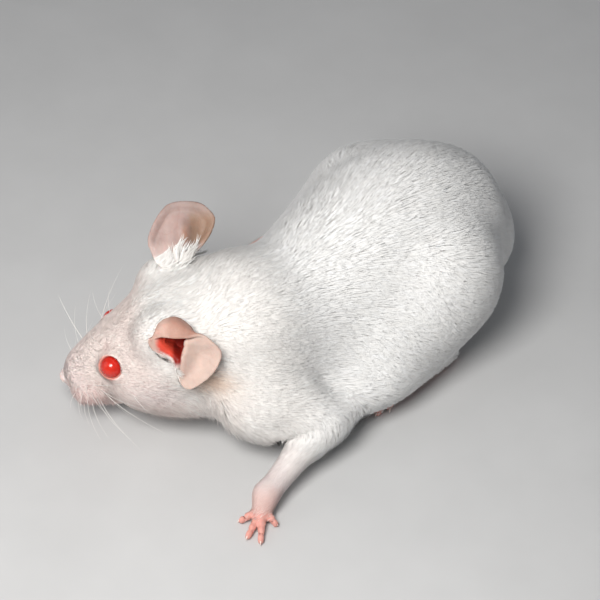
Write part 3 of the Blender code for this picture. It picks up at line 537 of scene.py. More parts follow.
def surface(D, lines):
    """Closed surface where the sampled field is zero: one point to each cell that it passes through."""
    D = unpinched(D)
    inside = D < 0
    size = D.shape
    count = np.zeros([s - 1 for s in size], np.int8)
    for i in (0, 1):
        for j in (0, 1):
            for k in (0, 1):
                count += inside[i:size[0] - 1 + i, j:size[1] - 1 + j, k:size[2] - 1 + k]
    active = (count > 0) & (count < 8)
    index = -np.ones(active.shape, np.int64)
    cells = np.argwhere(active)
    index[active] = np.arange(len(cells))
    total, number = np.zeros((len(cells), 3)), np.zeros(len(cells))
    for axis in range(3):
        b, c = [a for a in range(3) if a != axis]
        for u in (0, 1):
            for v in (0, 1):
                off = np.zeros(3, int)
                off[b], off[c] = u, v
                end = off.copy()
                end[axis] = 1
                p, q = cells + off, cells + end
                d0, d1 = D[tuple(p.T)], D[tuple(q.T)]
                cross = (d0 < 0) != (d1 < 0)
                at = p.astype(float)
                at[:, axis] += np.where(cross, d0 / np.where(cross, d0 - d1, 1), 0)
                total[cross] += at[cross]
                number[cross] += 1
    points = total / number[:, None]
    points = np.stack([np.interp(points[:, i], np.arange(size[i]), lines[i]) for i in range(3)], 1)
    quads = []
    for axis in range(3):
        b, c = [a for a in range(3) if a != axis]
        first, last = [slice(None)] * 3, [slice(None)] * 3
        first[axis], last[axis] = slice(0, -1), slice(1, None)
        edge = np.argwhere(inside[tuple(first)] != inside[tuple(last)])
        out_of = inside[tuple(first)][tuple(edge.T)]

        def cell(u, v):
            q = edge.copy()
            q[:, b] -= u
            q[:, c] -= v
            return index[tuple(q.T)]

        quad = np.stack([cell(1, 1), cell(0, 1), cell(0, 0), cell(1, 0)], 1)
        flip = out_of if axis != 1 else ~out_of
        quads.append(np.where(flip[:, None], quad, quad[:, ::-1]))
    return points, np.concatenate(quads)


def evened(points, quads, passes):
    """Points moved towards the middle of their neighbours and back, which evens the mesh without shrinking it."""
    root_shade_tip_light = np.concatenate([quads[:, [i, (i + 1) % 4]] for i in range(4)])
    root_shade_tip_light = np.concatenate([root_shade_tip_light, root_shade_tip_light[:, ::-1]])
    number = np.bincount(root_shade_tip_light[:, 0], minlength=len(points))[:, None]
    for i in range(passes):
        for amount in (0.5, -0.52):
            mean = np.stack([np.bincount(root_shade_tip_light[:, 0], points[root_shade_tip_light[:, 1], k], len(points)) for k in range(3)], 1) / number
            points = points + amount * (mean - points)
    return points


def largest(points, quads):
    """The biggest connected body alone."""
    low = np.arange(len(points))
    while True:
        new = low.copy()
        least = low[quads].min(1)
        for i in range(4):
            np.minimum.at(new, quads[:, i], least)
        new = new[new]
        if (new == low).all():
            break
        low = new
    key = np.bincount(low[quads[:, 0]]).argmax()
    quads = quads[low[quads[:, 0]] == key]
    used, back = np.unique(quads, return_inverse=True)
    return points[used], back.reshape(-1, 4)


def slope(form, p, h=0.06):
    """The form's value and gradient."""
    d = form(p)
    return d, np.stack([(form(p + h * e) - d) / h for e in np.eye(3)], 1)


def mesh_of(name, points, corners, sides):
    """A mesh from points in mm and faces of a set number of sides."""
    m = bpy.data.meshes.new(name)
    m.vertices.add(len(points))
    m.vertices.foreach_set("co", ((points - SHIFT) / 1000).astype(np.float32).ravel())
    m.loops.add(corners.size)
    m.loops.foreach_set("vertex_index", corners.astype(np.int32).ravel())
    m.polygons.add(corners.size // sides)
    m.polygons.foreach_set("loop_start", np.arange(0, corners.size, sides, dtype=np.int32))
    m.update(calc_edges=True)
    m.shade_smooth()
    return m


def piece(name, mesh):
    o = bpy.data.objects.new(name, mesh)
    bpy.context.scene.collection.objects.link(o)
    return o


form = skin_form()
on_floor = lambda p: np.maximum(form(p), -p[:, 2])
low, high = form.box()
lines = [
    spaced(low[0] - 1.5, high[0] + 1.5, [-19, -18, 15, 16, 19, 21], [0.36, 0.26, 0.26, 0.36, 0.36, 0.28]),
    spaced(low[1] - 1.5, high[1] + 1.5, [32, 37, 43, 45, 51, 54], [0.25, 0.44, 0.44, 0.34, 0.34, 0.48]),
    spaced(-1.0, high[2] + 1.5, [3, 4], [0.26, 0.27]),
]
D = sample(on_floor, lines)
skin, quads = largest(*surface(D, lines))
skin = evened(skin, quads, 3)
del D


def settled(points):
    """Points drawn onto the skin's true surface, and the way it faces at each."""
    d, g = slope(on_floor, points)
    points = points - g * np.clip(d / np.maximum((g ** 2).sum(1), 0.2), -0.12, 0.12)[:, None]
    points[:, 2] = np.maximum(points[:, 2], 0.0)
    return points, unit(g)


# fewer faces where the coat covers the form, most on the head, feet and tail
dense = piece("dense", mesh_of("dense", skin, quads, 4))
r = regions(skin)
plain = ease(r["ahead"], 2.0, -8.0) * (1 - r["paw"]) * (1 - r["foot"]) * (1 - 0.8 * r["tail"]) * (1 - 0.5 * r["arm"])
group = dense.vertex_groups.new(name="plain")
for step in range(1, 11):
    group.add(np.flatnonzero(np.round(plain * 10) == step).tolist(), step / 10, "REPLACE")
thin = dense.modifiers.new("thin", "DECIMATE")
thin.ratio = 190000 / (2 * len(quads))
thin.vertex_group = "plain"
thin.vertex_group_factor = 6.0
thinned = dense.evaluated_get(bpy.context.evaluated_depsgraph_get()).to_mesh()
thinned.calc_loop_triangles()
skin = np.empty(3 * len(thinned.vertices), np.float32)
thinned.vertices.foreach_get("co", skin)
skin = skin.reshape(-1, 3).astype(float) * 1000 + SHIFT
faces = np.empty(3 * len(thinned.loop_triangles), np.int32)
thinned.loop_triangles.foreach_get("vertices", faces)
faces = faces.reshape(-1, 3)
bpy.data.objects.remove(dense)
skin, facing_out = settled(skin)

# the trunk's skin is drawn smooth from point to point under its coat
r = regions(skin)
calm = ease(skin[:, 1], 30, 38) * (1 - r["arm"]) * (1 - r["paw"]) * (1 - r["foot"]) * (1 - r["tail"]) * (1 - r["head"])
pairs = np.concatenate([faces[:, [0, 1]], faces[:, [1, 2]], faces[:, [2, 0]]])
pairs = np.concatenate([pairs, pairs[:, ::-1]])
count = np.maximum(np.bincount(pairs[:, 0], minlength=len(skin)), 1)[:, None]
for _ in range(26):
    around = np.stack([np.bincount(pairs[:, 0], skin[pairs[:, 1], k], minlength=len(skin)) for k in range(3)], 1) / count
    skin += (around - skin) * 0.6 * calm[:, None]
skin[:, 2] = np.maximum(skin[:, 2], 0.0)
corner = skin[faces]
flat = np.cross(corner[:, 1] - corner[:, 0], corner[:, 2] - corner[:, 0])
turned = np.stack([sum(np.bincount(faces[:, j], flat[:, k], minlength=len(skin)) for j in range(3)) for k in range(3)], 1)
facing_out = unit(facing_out * (1 - calm)[:, None] + unit(turned) * calm[:, None])


# ---- what each place on the skin is, for its colour and its coat
def tree_of(points):
    tree = kdtree.KDTree(len(points))
    for i, q in enumerate(points):
        tree.insert(q, i)
    tree.balance()
    return tree


LEFT_TREE, RIGHT_TREE = tree_of(LEFT_EAR), tree_of(RIGHT_EAR)


def on_ear(p, points, tree, share):
    """How far each place lies on an ear's bare sheet, and its distance out from the pit."""
    on, out = np.zeros(len(p)), np.zeros(len(p))
    near = np.flatnonzero(((p > points.min(0) - 1.5) & (p < points.max(0) + 1.5)).all(1))
    for i in near:
        _, j, d = tree.find(p[i])
        on[i], out[i] = d, share[j]
    far = np.ones(len(p), bool)
    far[near] = False
    on = np.where(far, 0, ease(on, 0.95, 0.5))
    return on, out


def looks(p, n):
    """All that the colours and the coat need to know about places p on the skin that face n."""
    r = regions(p)
    q = r["q"]
    side = np.abs(q[:, 0])
    nostril = np.exp(-((np.stack([side - 1.62, q[:, 1] + 24.5, q[:, 2] + 4.15], 1) / (0.95, 0.8, 0.7)) ** 2).sum(1))
    r["nose"] = np.maximum(ease(r["ahead"] - 0.25 * (q[:, 2] + 3.5), 24.75, 25.2), ease(nostril, 0.35, 0.6)) * r["head"]
    r["eye"] = np.full(len(p), 9.0)
    for s in (1, -1):
        e = head_point((s * EYE_AT[0], EYE_AT[1], EYE_AT[2]))
        r["eye"] = np.minimum(r["eye"], np.linalg.norm(p - e, axis=1))
    left, left_out = on_ear(p, LEFT_EAR, LEFT_TREE, LEFT_SHARE)
    right, right_out = on_ear(p, RIGHT_EAR, RIGHT_TREE, RIGHT_SHARE)
    u = (p - np.array(LEFT_EAR_ROOT)) @ EAR_R.T
    w = (p - np.array(RIGHT_EAR_ROOT)) @ EAR_R.T
    clear_right = ease(w[:, 1] + 0.25 * np.abs(w[:, 0] - 1.2), 0.3, 1.9)
    lip = ease(u[:, 1], 0.0, -0.8) * ease(u[:, 0], 1.6, 0.8)   # the lower lip, where the cheek's coat runs up to it
    r["ear_left"] = left * ease(left_out, 0.35 + 0.25 * lip, 0.62 + 0.36 * lip) * (1 - 0.9 * lip)
    r["ear_right"] = right * clear_right
    pit = np.linalg.norm((u - (0.9, 0.5, -0.6)) / (1.0, 1.0, 1.35), axis=1)
    inward = ((np.array((0.9, 0.4, 1.6)) - u) * (n @ EAR_R.T)).sum(1)
    r["red"] = ease(pit, 3.6, 2.5) * ease(inward, -0.3, 0.5) * ease(u[:, 2], 2.3, 1.3)
    r["ear"] = np.maximum(np.maximum(r["ear_left"], r["ear_right"]), r["red"])
    r["u"], r["w"] = u, w
    bare = np.maximum.reduce([r["ear"], r["nose"], ease(r["eye"], 2.2, 2.02), 0.93 * ease(r["reach"], 0.2, 2.2) * r["paw"] + 0.3 * r["paw"], 0.9 * r["foot"], 0.9 * r["tail"]])
    r["bare"] = np.clip(bare, 0, 1)
    return r


def noise(p, size, seed):
    """Smooth noise from -1 to 1 over lengths of about size."""
    k = np.random.default_rng(seed)
    out = np.zeros(len(p))
    for i in range(7):
        d = unit(k.normal(size=3)) * 2 * np.pi / (size * k.uniform(0.8, 2.2))
        out += np.sin(p @ d + k.uniform(0, 7) + 1.3 * np.sin(p @ (d[[1, 2, 0]] * 0.6) + k.uniform(0, 7)))
    return out / 3.2


def mixed(a, b, t):
    return a + (np.asarray(b) - a) * np.asarray(t)[:, None]


BODY, NECK, FACE, SNOUT = (0.94, 0.938, 0.93), (0.93, 0.905, 0.88), (0.92, 0.79, 0.745), (0.91, 0.77, 0.74)
PAW, NOSE, TAILS, LID = (0.75, 0.365, 0.31), (0.86, 0.66, 0.62), (0.80, 0.52, 0.46), (0.66, 0.27, 0.22)


def coat_tone(p, r):
    c = np.tile(BODY, (len(p), 1)).astype(float)
    c = mixed(c, NECK, ease(p[:, 1], 36, 26))
    c = mixed(c, FACE, r["head"] * ease(r["ahead"], 5, 11))
    c = mixed(c, SNOUT, r["head"] * ease(r["ahead"], 18, 23))
    c = mixed(c, (0.92, 0.83, 0.79), r["head"] * ease(r["q"][:, 2], -5.0, -8.5) * ease(r["ahead"], 14, 2) * 0.7)
    c = mixed(c, (0.82, 0.60, 0.57), 0.6 * r["head"] * ease(r["ahead"], 18.5, 20.5) * ease(r["ahead"], 24.6, 23.4) * ease(r["q"][:, 2], -2.8, -4.4) * ease(r["q"][:, 2], -8.6, -7.0))   # whisker pads
    c = mixed(c, (0.90, 0.76, 0.75), r["arm"] * ease(r["paw_run"], 1.1, 2.0) * 0.8)
    c = mixed(c, (0.86, 0.60, 0.55), r["paw"] * ease(r["reach"], -3.2, 0.5) * 0.9)
    q = r["q"]
    side = np.abs(q[:, 0])
    c = mixed(c, (0.90, 0.70, 0.68), ease(r["eye"], 3.0, 2.1) * ease(r["ahead"] - q[:, 2], 13.5, 16.5) * 0.45)
    c = mixed(c, (0.80, 0.50, 0.47), 0.6 * np.exp(-((np.stack([side, q[:, 1], q[:, 2]], 1) - (3.9, -15.3, 3.2)) ** 2 / (1.2, 0.7, 0.8)).sum(1)))   # crease of the brow
    c = mixed(c, (0.90, 0.80, 0.79), 0.6 * r["head"] * np.exp(-((np.stack([side, q[:, 1], q[:, 2]], 1) - (9.0, -11.0, -4.5)) ** 2 / (20.0, 20.0, 9.0)).sum(1)))   # cheek
    c = mixed(c, (0.90, 0.60, 0.42), 1.0 * np.exp(-(((r["u"] - (4.2, -5.6, -3.0)) / (3.4, 2.2, 2.8)) ** 2).sum(1)))   # painted shadow under the open ear, warmed as if lit through the ear
    c = mixed(c, (0.90, 0.77, 0.71), r["head"] * 0.8 * np.exp(-(((r["u"] - (-0.4, -0.8, -0.8)) / (2.0, 1.6, 2.0)) ** 2).sum(1)))   # front lip of the open ear
    return c


def skin_tone(p, r):
    coat = coat_tone(p, r)
    c = mixed(coat, (0.86, 0.70, 0.66), np.full(len(p), 0.10) + 0.12 * r["head"])
    c = mixed(c, PAW, r["paw"] * ease(r["reach"], -1.0, 1.6))
    c = mixed(c, (0.86, 0.64, 0.60), r["paw"] * ease(r["reach"], -3.0, -1.0) * (1 - ease(r["reach"], -1.0, 1.6)) * 0.8)
    c = mixed(c, PAW, r["foot"])
    c = mixed(c, TAILS, r["tail"])
    c = mixed(c, LID, ease(r["eye"], 2.35, 1.98))
    c = mixed(c, (0.66, 0.36, 0.33), 0.85 * r["head"] * ease(r["ahead"], 17.5, 20.0) * ease(r["q"][:, 2], -2.8, -4.4) * ease(r["q"][:, 2], -9.2, -7.6))
    c = mixed(c, NOSE, r["nose"])
    for s in (1, -1):   # inside the nostrils: dark red, painted shade of the openings
        c = mixed(c, (0.30, 0.07, 0.06), np.exp(-((((r["q"] - (s * 1.62, -24.5, -4.15)) / (0.75, 0.6, 0.42)) ** 2).sum(1)) ** 2) * r["head"])
    u, w = r["u"], r["w"]
    left = mixed(np.tile((0.63, 0.475, 0.41), (len(p), 1)), (0.47, 0.265, 0.205), ease(u[:, 1] - 0.35 * u[:, 0], 0.2, 1.2))   # lobe, then the curled edge
    left = mixed(left, (0.66, 0.45, 0.38), ease(u[:, 0], 0.6, -0.8) * 0.8)
    c = mixed(c, left, r["ear_left"])
    # far ear: the side behind the ridge is darker and warmer, painted shade of the hollow there
    right = mixed(np.tile((0.46, 0.335, 0.305), (len(p), 1)), (0.33, 0.215, 0.155), ease(w[:, 0], 1.7, 2.8))
    right = mixed(right, (0.37, 0.275, 0.25), ease(w[:, 1], 6.0, 8.0) * 0.8)
    right = mixed(right, (0.44, 0.235, 0.155), 0.8 * ease(np.abs(w[:, 0] - 1.7), 0.9, 0.1) * ease(w[:, 1], 7.0, 3.0))
    right = mixed(right, (0.56, 0.42, 0.385), ease(w[:, 1], 3.0, 1.2))
    c = mixed(c, right, r["ear_right"])
    # the hollow of the open ear: red skin, darker towards the back under the curled edge, which is painted shade
    red = mixed(np.tile((0.72, 0.075, 0.042), (len(p), 1)), (0.26, 0.012, 0.006), ease(u[:, 0], 0.1, 0.8))
    c = mixed(c, red, r["red"])
    return c * (1 + 0.025 * noise(p, 2.2, 5) + 0.015 * noise(p, 0.7, 6))[:, None]


def lie(p, r):
    """The way the hairs lie."""
    f = np.tile((0.0, 1.0, -0.30), (len(p), 1))
    f[:, 2] -= 0.5 * ease(np.abs(p[:, 0]), 5, 15) * ease(p[:, 1], 34, 48)
    f = mixed(f, unit(np.array((-2.2, 81.0, 2.0)) - p) * (1, 1, 1.2), ease(p[:, 1], 54, 76) * 0.9)
    q = r["q"]
    h = np.stack([np.sign(q[:, 0]) * 0.22 * ease(r["ahead"], 24, 12), np.ones(len(p)), -0.22 - 0.0 * q[:, 0]], 1)
    h[:, 2] -= 0.55 * ease(q[:, 2], -2.0, -6.0) * ease(r["ahead"], 21, 12)
    e = q - np.stack([np.sign(q[:, 0]) * EYE_AT[0], np.full(len(p), EYE_AT[1]), np.full(len(p), EYE_AT[2])], 1)
    h += 0.9 * unit(e) * ease(r["eye"], 4.5, 2.0)[:, None]   # parts round the eye
    h[:, 2] -= 0.9 * ease(r["ahead"], 17, 20) * ease(q[:, 2], -2.6, -4.2)   # the pads' hairs hang
    h = h @ HEAD_R.T
    f = f + (h * 1.15 - f) * (r["head"] * ease(r["ahead"], -4, 6))[:, None]
    for k, joints in enumerate(ARMS):
        a, b, c = [np.array(j, float) for j in joints[:3]]
        d, t = along(p, joints, 0.8)
        w = ease(t, 0.45, 1.2) * ease(d, 8.0, 5.0) * (p[:, 0] * (1 if k == 0 else -1) > 0)
        way = unit(b - a)[None] * ease(t, 1.3, 0.8)[:, None] + unit(c - b)[None] * ease(t, 0.8, 1.3)[:, None]
        f = mixed(f, way * 1.2, w)
    base = np.exp(-(((r["w"] - (1.4, -0.6, 0.6)) / (4.2, 2.2, 2.4)) ** 2).sum(1))
    f = mixed(f, EAR_R[1] * 1.0 + EAR_R[0] * 0.35, 0.85 * base)
    thigh = ease(p[:, 1], 42, 50) * ease(p[:, 2], 17, 9) * ease(np.abs(p[:, 0]), 6, 12)
    f = mixed(f, (0.0, 0.75, -0.75), thigh)
    f = mixed(f, (0.0, 1.0, -0.05), r["foot"])
    line = TAIL_LINE[:, :3]
    d, s = along(p, line)
    way = unit(np.gradient(line, axis=0))[np.clip(s.round().astype(int), 0, len(line) - 1)]
    f = mixed(f, way, np.clip(r["tail"] * 1.5, 0, 1))
    return f


# ---- the skin as a piece
place = looks(skin, facing_out)
mesh = mesh_of("skin", skin, faces, 3)


def paint(mesh, name, values):
    a = mesh.color_attributes.new(name=name, type="FLOAT_COLOR", domain="POINT")
    a.data.foreach_set("color", np.concatenate([np.clip(values, 0, 4), np.ones((len(values), 1))], 1).astype(np.float32).ravel())


paint(mesh, "tone", skin_tone(skin, place))
ring_run = place["tail_run"] * (place["tail"] > 0)
paint(mesh, "parts", np.stack([place["bare"], place["head"] * ease(place["ahead"], 0, 6), place["tail"]], 1))
paint(mesh, "runs", np.stack([ring_run / 100, place["ear"], np.maximum(place["paw"], place["foot"])], 1))
mesh.normals_split_custom_set_from_vertices(facing_out.tolist())
skin_piece = piece("skin", mesh)

# ---- the coat
corner = skin[faces]
middle = corner.mean(1)
area = np.linalg.norm(np.cross(corner[:, 1] - corner[:, 0], corner[:, 2] - corner[:, 0]), axis=1) / 2
mid_place = {k: (v[faces].mean(1) if v.ndim == 1 else v[faces].mean(1)) for k, v in place.items()}


def thick_with(p, r):
    """Tufts to the square millimetre."""
    n = np.full(len(p), 11.0)
    n += 9.0 * ease(p[:, 1], 36, 28)
    n += (np.interp(r["ahead"], [2, 10, 17, 23], [22, 32, 40, 50]) - n) * r["head"] * ease(r["ahead"], 0, 6)
    n = n + (26 - n) * r["arm"] * ease(r["paw_run"], 0.9, 1.5)
    n = n * (1 - np.clip(r["bare"], 0, 1)) + ((4 + 18 * ease(r["reach"], 1.5, -0.5)) * r["paw"] + 5 * r["foot"] + 7 * r["tail"]) * (1 - r["ear"]) * (1 - r["nose"]) * (r["eye"] > 2.3)
    n *= 1 - 0.97 * ease(r["ear"], 0.25, 0.7)
    n *= np.where(r["paw"] > 0.5, ease(r["reach"], 3.0, 1.0), 1)   # toes stay bare
    n *= ease(p[:, 2], 0.25, 0.9) * 0.999 + 0.001
    return n * (r["red"] < 0.2) * (r["eye"] > 2.12)


per = thick_with(middle, mid_place)
COAT_TOTAL = 136000
expected = area * per
expected *= COAT_TOTAL / expected.sum()
pick = np.searchsorted(np.cumsum(expected), (np.arange(COAT_TOTAL) + rng.random(COAT_TOTAL)) * expected.sum() / COAT_TOTAL)
pick = np.minimum(pick, len(faces) - 1)
a, b = rng.random(COAT_TOTAL), rng.random(COAT_TOTAL)
flip = a + b > 1
a, b = np.where(flip, 1 - a, a), np.where(flip, 1 - b, b)
weights = np.stack([1 - a - b, a, b], 1)


def at_roots(v):
    x = v[faces[pick]]
    return (x * (weights[:, :, None] if v.ndim == 2 else weights)).sum(1)


root, out = at_roots(skin), unit(at_roots(facing_out))
on = {k: at_roots(v) for k, v in place.items()}
tree = BVHTree.FromPolygons(skin.tolist(), faces.tolist())


def above(p):
    """The nearest places on the skin to p, and the way the skin faces there."""
    found = [tree.find_nearest(q) for q in p]
    loc = np.array([f[0] for f in found])
    t = np.array([f[2] for f in found])
    c = skin[faces[t]]
    e0, e1, e2 = c[:, 1] - c[:, 0], c[:, 2] - c[:, 0], loc - c[:, 0]
    d00, d01, d11, d20, d21 = [(x * y).sum(1) for x, y in ((e0, e0), (e0, e1), (e1, e1), (e2, e0), (e2, e1))]
    den = np.maximum(d00 * d11 - d01 * d01, 1e-12)
    v, w = (d11 * d20 - d01 * d21) / den, (d00 * d21 - d01 * d20) / den
    wts = np.clip(np.stack([1 - v - w, v, w], 1), 0, 1)
    return loc, unit((facing_out[faces[t]] * wts[:, :, None]).sum(1))


depth = coat_depth(on)
deep = np.maximum(depth, 0.14)
n = COAT_TOTAL
length = np.interp(on["ahead"], [0, 8, 17, 23, 25], [2.6, 1.7, 1.05, 0.62, 0.4])
length = 3.1 + (length - 3.1) * on["head"]
length += (np.interp(on["paw_run"], [0.8, 1.5, 2.0], [2.4, 1.5, 0.8]) - length) * on["arm"]
length += (0.6 - length) * np.maximum.reduce([on["paw"], on["foot"], on["tail"]])
length *= 1 - 0.45 * ease(on["eye"], 4.0, 2.2)
length *= rng.uniform(0.75, 1.2, n)
width = np.interp(length, [0.4, 0.8, 1.6, 3.4], [0.08, 0.10, 0.15, 0.22]) * rng.uniform(0.8, 1.2, n)

flow = lie(root, on)
flow = unit(flow - (flow * out).sum(1)[:, None] * out)
across = np.cross(out, flow)
on_face = on["head"] * ease(on["ahead"], 3, 10)
swing = np.radians((8 * noise(root, 7.0, 21) + 4 * noise(root, 2.6, 22)) * (1 - 0.5 * on_face) + rng.normal(0, 6.0, n))
pads = on["head"] * ease(on["ahead"], 18.0, 19.6) * ease(on["ahead"], 24.6, 23.6) * ease(on["q"][:, 2], -2.0, -3.6) * ease(on["q"][:, 2], -9.0, -7.2)
swing += np.radians(48) * pads * noise(root, 0.8, 23)   # the pads' tufts crinkle
flow = flow * np.cos(swing)[:, None] + across * np.sin(swing)[:, None]

# how far the tips stand out
rise = rng.uniform(0.78, 1.0, n)
q = on["q"]
ruff = np.exp(-(((root - (-8.6, 28.4, 25.6)) / (4.4, 3.0, 4.0)) ** 2).sum(1))
throat = on["head"] * ease(q[:, 2], -5.5, -8.5) * ease(on["ahead"], -4, 3) * ease(on["ahead"], 20, 15)
breast = ease(root[:, 2], 13, 9) * ease(root[:, 1], 34, 28) * (1 - on["arm"]) * (1 - on["head"])
elbow = np.exp(-(((root - (19.5, 35.0, 8.5)) / (3.5, 3.5, 4.0)) ** 2).sum(1))
belly = ease(root[:, 2], 7.5, 4.5) * ease(root[:, 1], 34, 39) * (1 - on["foot"]) * (1 - on["tail"])
ear_base = np.exp(-(((on["w"] - (1.2, -0.6, 0.6)) / (3.7, 2.2, 2.4)) ** 2).sum(1))
long_one = (rng.random(n) < 0.16) * throat
ear_base = ear_base * ease(on["w"][:, 0], 4.4, 2.6)
rise += 0.6 * ruff + 1.1 * throat * rng.random(n) + 1.6 * long_one + 4.0 * pads * rng.random(n) ** 1.5 + 0.6 * breast + 0.4 * elbow + 0.35 * belly * ease(root[:, 1], 48, 44) + (0.2 + 1.3 * rng.random(n)) * ear_base
length *= 1 + 0.15 * ruff + 0.35 * throat * (rng.random(n) < 0.4) + 0.7 * long_one + 0.25 * ear_base * rng.random(n) + 0.75 * pads
length *= 1 - 0.30 * ease(root[:, 1], 60, 74) * (1 - on["foot"])
rise -= 0.12 * ease(root[:, 1], 60, 74)
width *= 1 + 0.3 * pads
width *= 1 - 0.3 * ear_base
width *= 1 - 0.35 * throat
standing = rng.random(n) < 0.05
rise = np.where(standing, rise * 1.15, rise)
# tufts near the open ear grow shorter
guard = ease(np.linalg.norm(on["u"] - (1.0, 0.4, 0.0), axis=1), 7.0, 4.0)
length *= 1 - 0.25 * guard

# hairs meet in small points: each tuft leans to the middle of its cell
tip = root + flow * length[:, None]
cell = np.floor((tip + 0.25 * np.stack([noise(tip, 1.4, 31), noise(tip, 1.4, 32), noise(tip, 1.4, 33)], 1)) / (0.30 + 0.36 * length[:, None].clip(0, 3.5))).astype(int)
_, key = np.unique(cell, axis=0, return_inverse=True)
key = key.reshape(-1)
mean = np.stack([np.bincount(key, tip[:, k]) for k in range(3)], 1) / np.bincount(key)[:, None]
tip += (0.22 - 0.16 * on_face + 0.14 * throat * ease(on["ahead"], 12, 6))[:, None] * (mean[key] - tip)
mid = root + (tip - root) * 0.52
mid_loc, mid_out = above(mid)
tip_loc, tip_out = above(tip)
mid_high = deep * 0.5 * np.clip(rise, 0.5, 1.6) + 0.02
tip_high = deep * rise * 1.0 + 0.015
mid = mid_loc + mid_out * mid_high[:, None]
tip = tip_loc + tip_out * tip_high[:, None]
mid[:, 2], tip[:, 2] = np.maximum(mid[:, 2], 0.12), np.maximum(tip[:, 2], 0.1)
stretch = np.linalg.norm(tip - root, axis=1) / np.maximum(length, 0.1)
good = (stretch > 0.45) & (stretch < 1.4)
tip_on_ear = np.zeros(n)
for sheet, branch in ((LEFT_EAR, LEFT_TREE), (RIGHT_EAR, RIGHT_TREE)):
    near = np.flatnonzero(((tip > sheet.min(0) - 0.6) & (tip < sheet.max(0) + 0.6)).all(1))
    for i in near:
        if branch.find(tip[i])[2] < 0.45:
            tip_on_ear[i] = 1
for s in (1, -1):   # nothing grows over the eyes
    e = head_point((s * EYE_AT[0], EYE_AT[1], EYE_AT[2]))
    for x in (mid, tip):
        good &= np.linalg.norm(x - e - eye_axis(s) * 0.5, axis=1) > 1.98
good &= ~((tip_on_ear > 0) & (on["ear"] < 0.3) & (rng.random(n) < 0.85) & ((on["u"][:, 0] > 1.0) | (on["u"][:, 1] > 1.0)) & (ear_base < 0.3))
good &= (tip_out * out).sum(1) > -0.1
for x in (mid, tip):   # nor over the hollow of the open ear
    v = (x - np.array(LEFT_EAR_ROOT)) @ EAR_R.T
    good &= ~((v[:, 0] > -2.6) & (v[:, 0] < 1.9) & (v[:, 1] < 1.9) & (v[:, 1] > 0.1 - 1.05 * (v[:, 0] + 1.6)) & (v[:, 2] > -3.0) & (v[:, 1] > -2.6))


def tufts(name, keep, uv):
    """One piece of the coat: thin closed locks, each three-sided and drawn to a point."""
    i = np.flatnonzero(keep)
    p, m, t, w = root[i] - out[i] * 0.03, mid[i], tip[i], width[i][:, None]
    first, last = unit(m - p), unit(t - m)
    side = unit(np.cross(first, out[i]))
    lift = np.cross(side, first)
    verts = np.zeros((len(i), 7, 3))
    for k, (x, y) in enumerate(((-0.5, 0.0), (0.0, 0.32), (0.5, 0.0))):
        verts[:, k] = p + side * w * x * 0.8 + lift * w * y * 0.5
        verts[:, 3 + k] = m + side * w * x + lift * w * y * 0.8
    verts[:, 6] = t
    shape = np.array([[0, 1, 4], [0, 4, 3], [1, 2, 5], [1, 5, 4], [2, 0, 3], [2, 3, 5], [3, 4, 6], [4, 5, 6], [5, 3, 6], [0, 2, 1]])
    tri = (shape[None] + 7 * np.arange(len(i))[:, None, None]).reshape(-1, 3)
    mesh = mesh_of(name, verts.reshape(-1, 3), tri, 3)
    tone = coat_tone(p, {k: v[i] for k, v in on.items()})
    shade = 1 + (0.03 + 0.035 * on["head"][i])[:, None] * rng.normal(size=(len(i), 1)) + 0.02 * noise(p, 1.6, 41)[:, None]
    # some tufts on the lower cheek and the pads are darkened pinkish-grey: painted shade of the gaps between hairs,
    # where pink skin shows
    gap_shade_zone = on["head"][i] * ease(on["ahead"][i], 3, 8) * ease(on["q"][i, 2], 1.0, -2.0)
    gap_shade = (rng.random(len(i)) < 0.02 + 0.07 * gap_shade_zone + 0.28 * np.clip(pads[i], 0, 1)) * (0.35 + 0.65 * rng.random(len(i))) * np.clip(gap_shade_zone + pads[i], 0, 1)
    tone = mixed(tone, tone * (0.72, 0.55, 0.55), gap_shade * 0.75)
    tint = 1 + np.array((0.0, -0.012, -0.028)) * rng.random((len(i), 1))
    tone = np.clip(tone * shade * tint, 0, 0.97)
    # each lock darker at its root and a little lighter at its tip: painted shade deep in the coat and painted light on
    # the tips
    root_shade_tip_light = np.array([0.96, 0.96, 0.96, 1.0, 1.0, 1.0, 1.02])[None, :, None]
    paint(mesh, "tone", np.clip((tone[:, None, :] * root_shade_tip_light), 0, 0.97).reshape(-1, 3))
    # each lock's own faces turn the light a little, the rest follows the skin
    own = np.zeros((len(i), 7, 3))
    for k, (x, y) in enumerate(((-0.8, 0.35), (0.0, 1.0), (0.8, 0.35))):
        own[:, k] = own[:, 3 + k] = side * x + lift * y
    own[:, 6] = lift
    base = np.stack([out[i]] * 3 + [mid_out[i]] * 3 + [tip_out[i]], 1)
    smooth = 0.13 + 0.11 * on["head"][i]
    bent = unit(own * smooth[:, None, None] + base * 0.8 + np.stack([out[i]] * 7, 1) * (0.8 * ear_base[i])[:, None, None])
    mesh.normals_split_custom_set_from_vertices(bent.reshape(-1, 3).tolist())
    # each lock is a small patch at its root's place on the unrolled skin
    at = uv(p, {k: v[i] for k, v in on.items()})
    low_uv, high_uv = at.min(0), at.max(0)
    at = 0.006 + 0.986 * (at - low_uv) / (high_uv - low_uv)
    patch = np.array([(-0.0014, 0.0), (0.0, -0.0007), (0.0014, 0.0), (-0.0010, 0.0013), (0.0, 0.0006), (0.0010, 0.0013), (0.0, 0.0024)])
    where = (at[:, None, :] + patch[None]).reshape(-1, 2)
    layer = mesh.uv_layers.new(name="OFBake")
    layer.data.foreach_set("uv", where[tri.ravel()].astype(np.float32).ravel())
    o = piece(name, mesh)
    return o


def unrolled(axis_at, way, seam):
    """The skin unrolled round an axis: the turn round it, and the run along it."""
    way = unit(np.array(way, float))
    flat = unit(np.array(seam, float) - np.dot(seam, way) * way)
    other = np.cross(way, flat)

    def uv(p, r):
        d = p - np.array(axis_at, float)
        return np.stack([np.arctan2(d @ other, d @ flat) / (2 * np.pi) + 0.5, (d @ way) / 60], 1)

    return uv


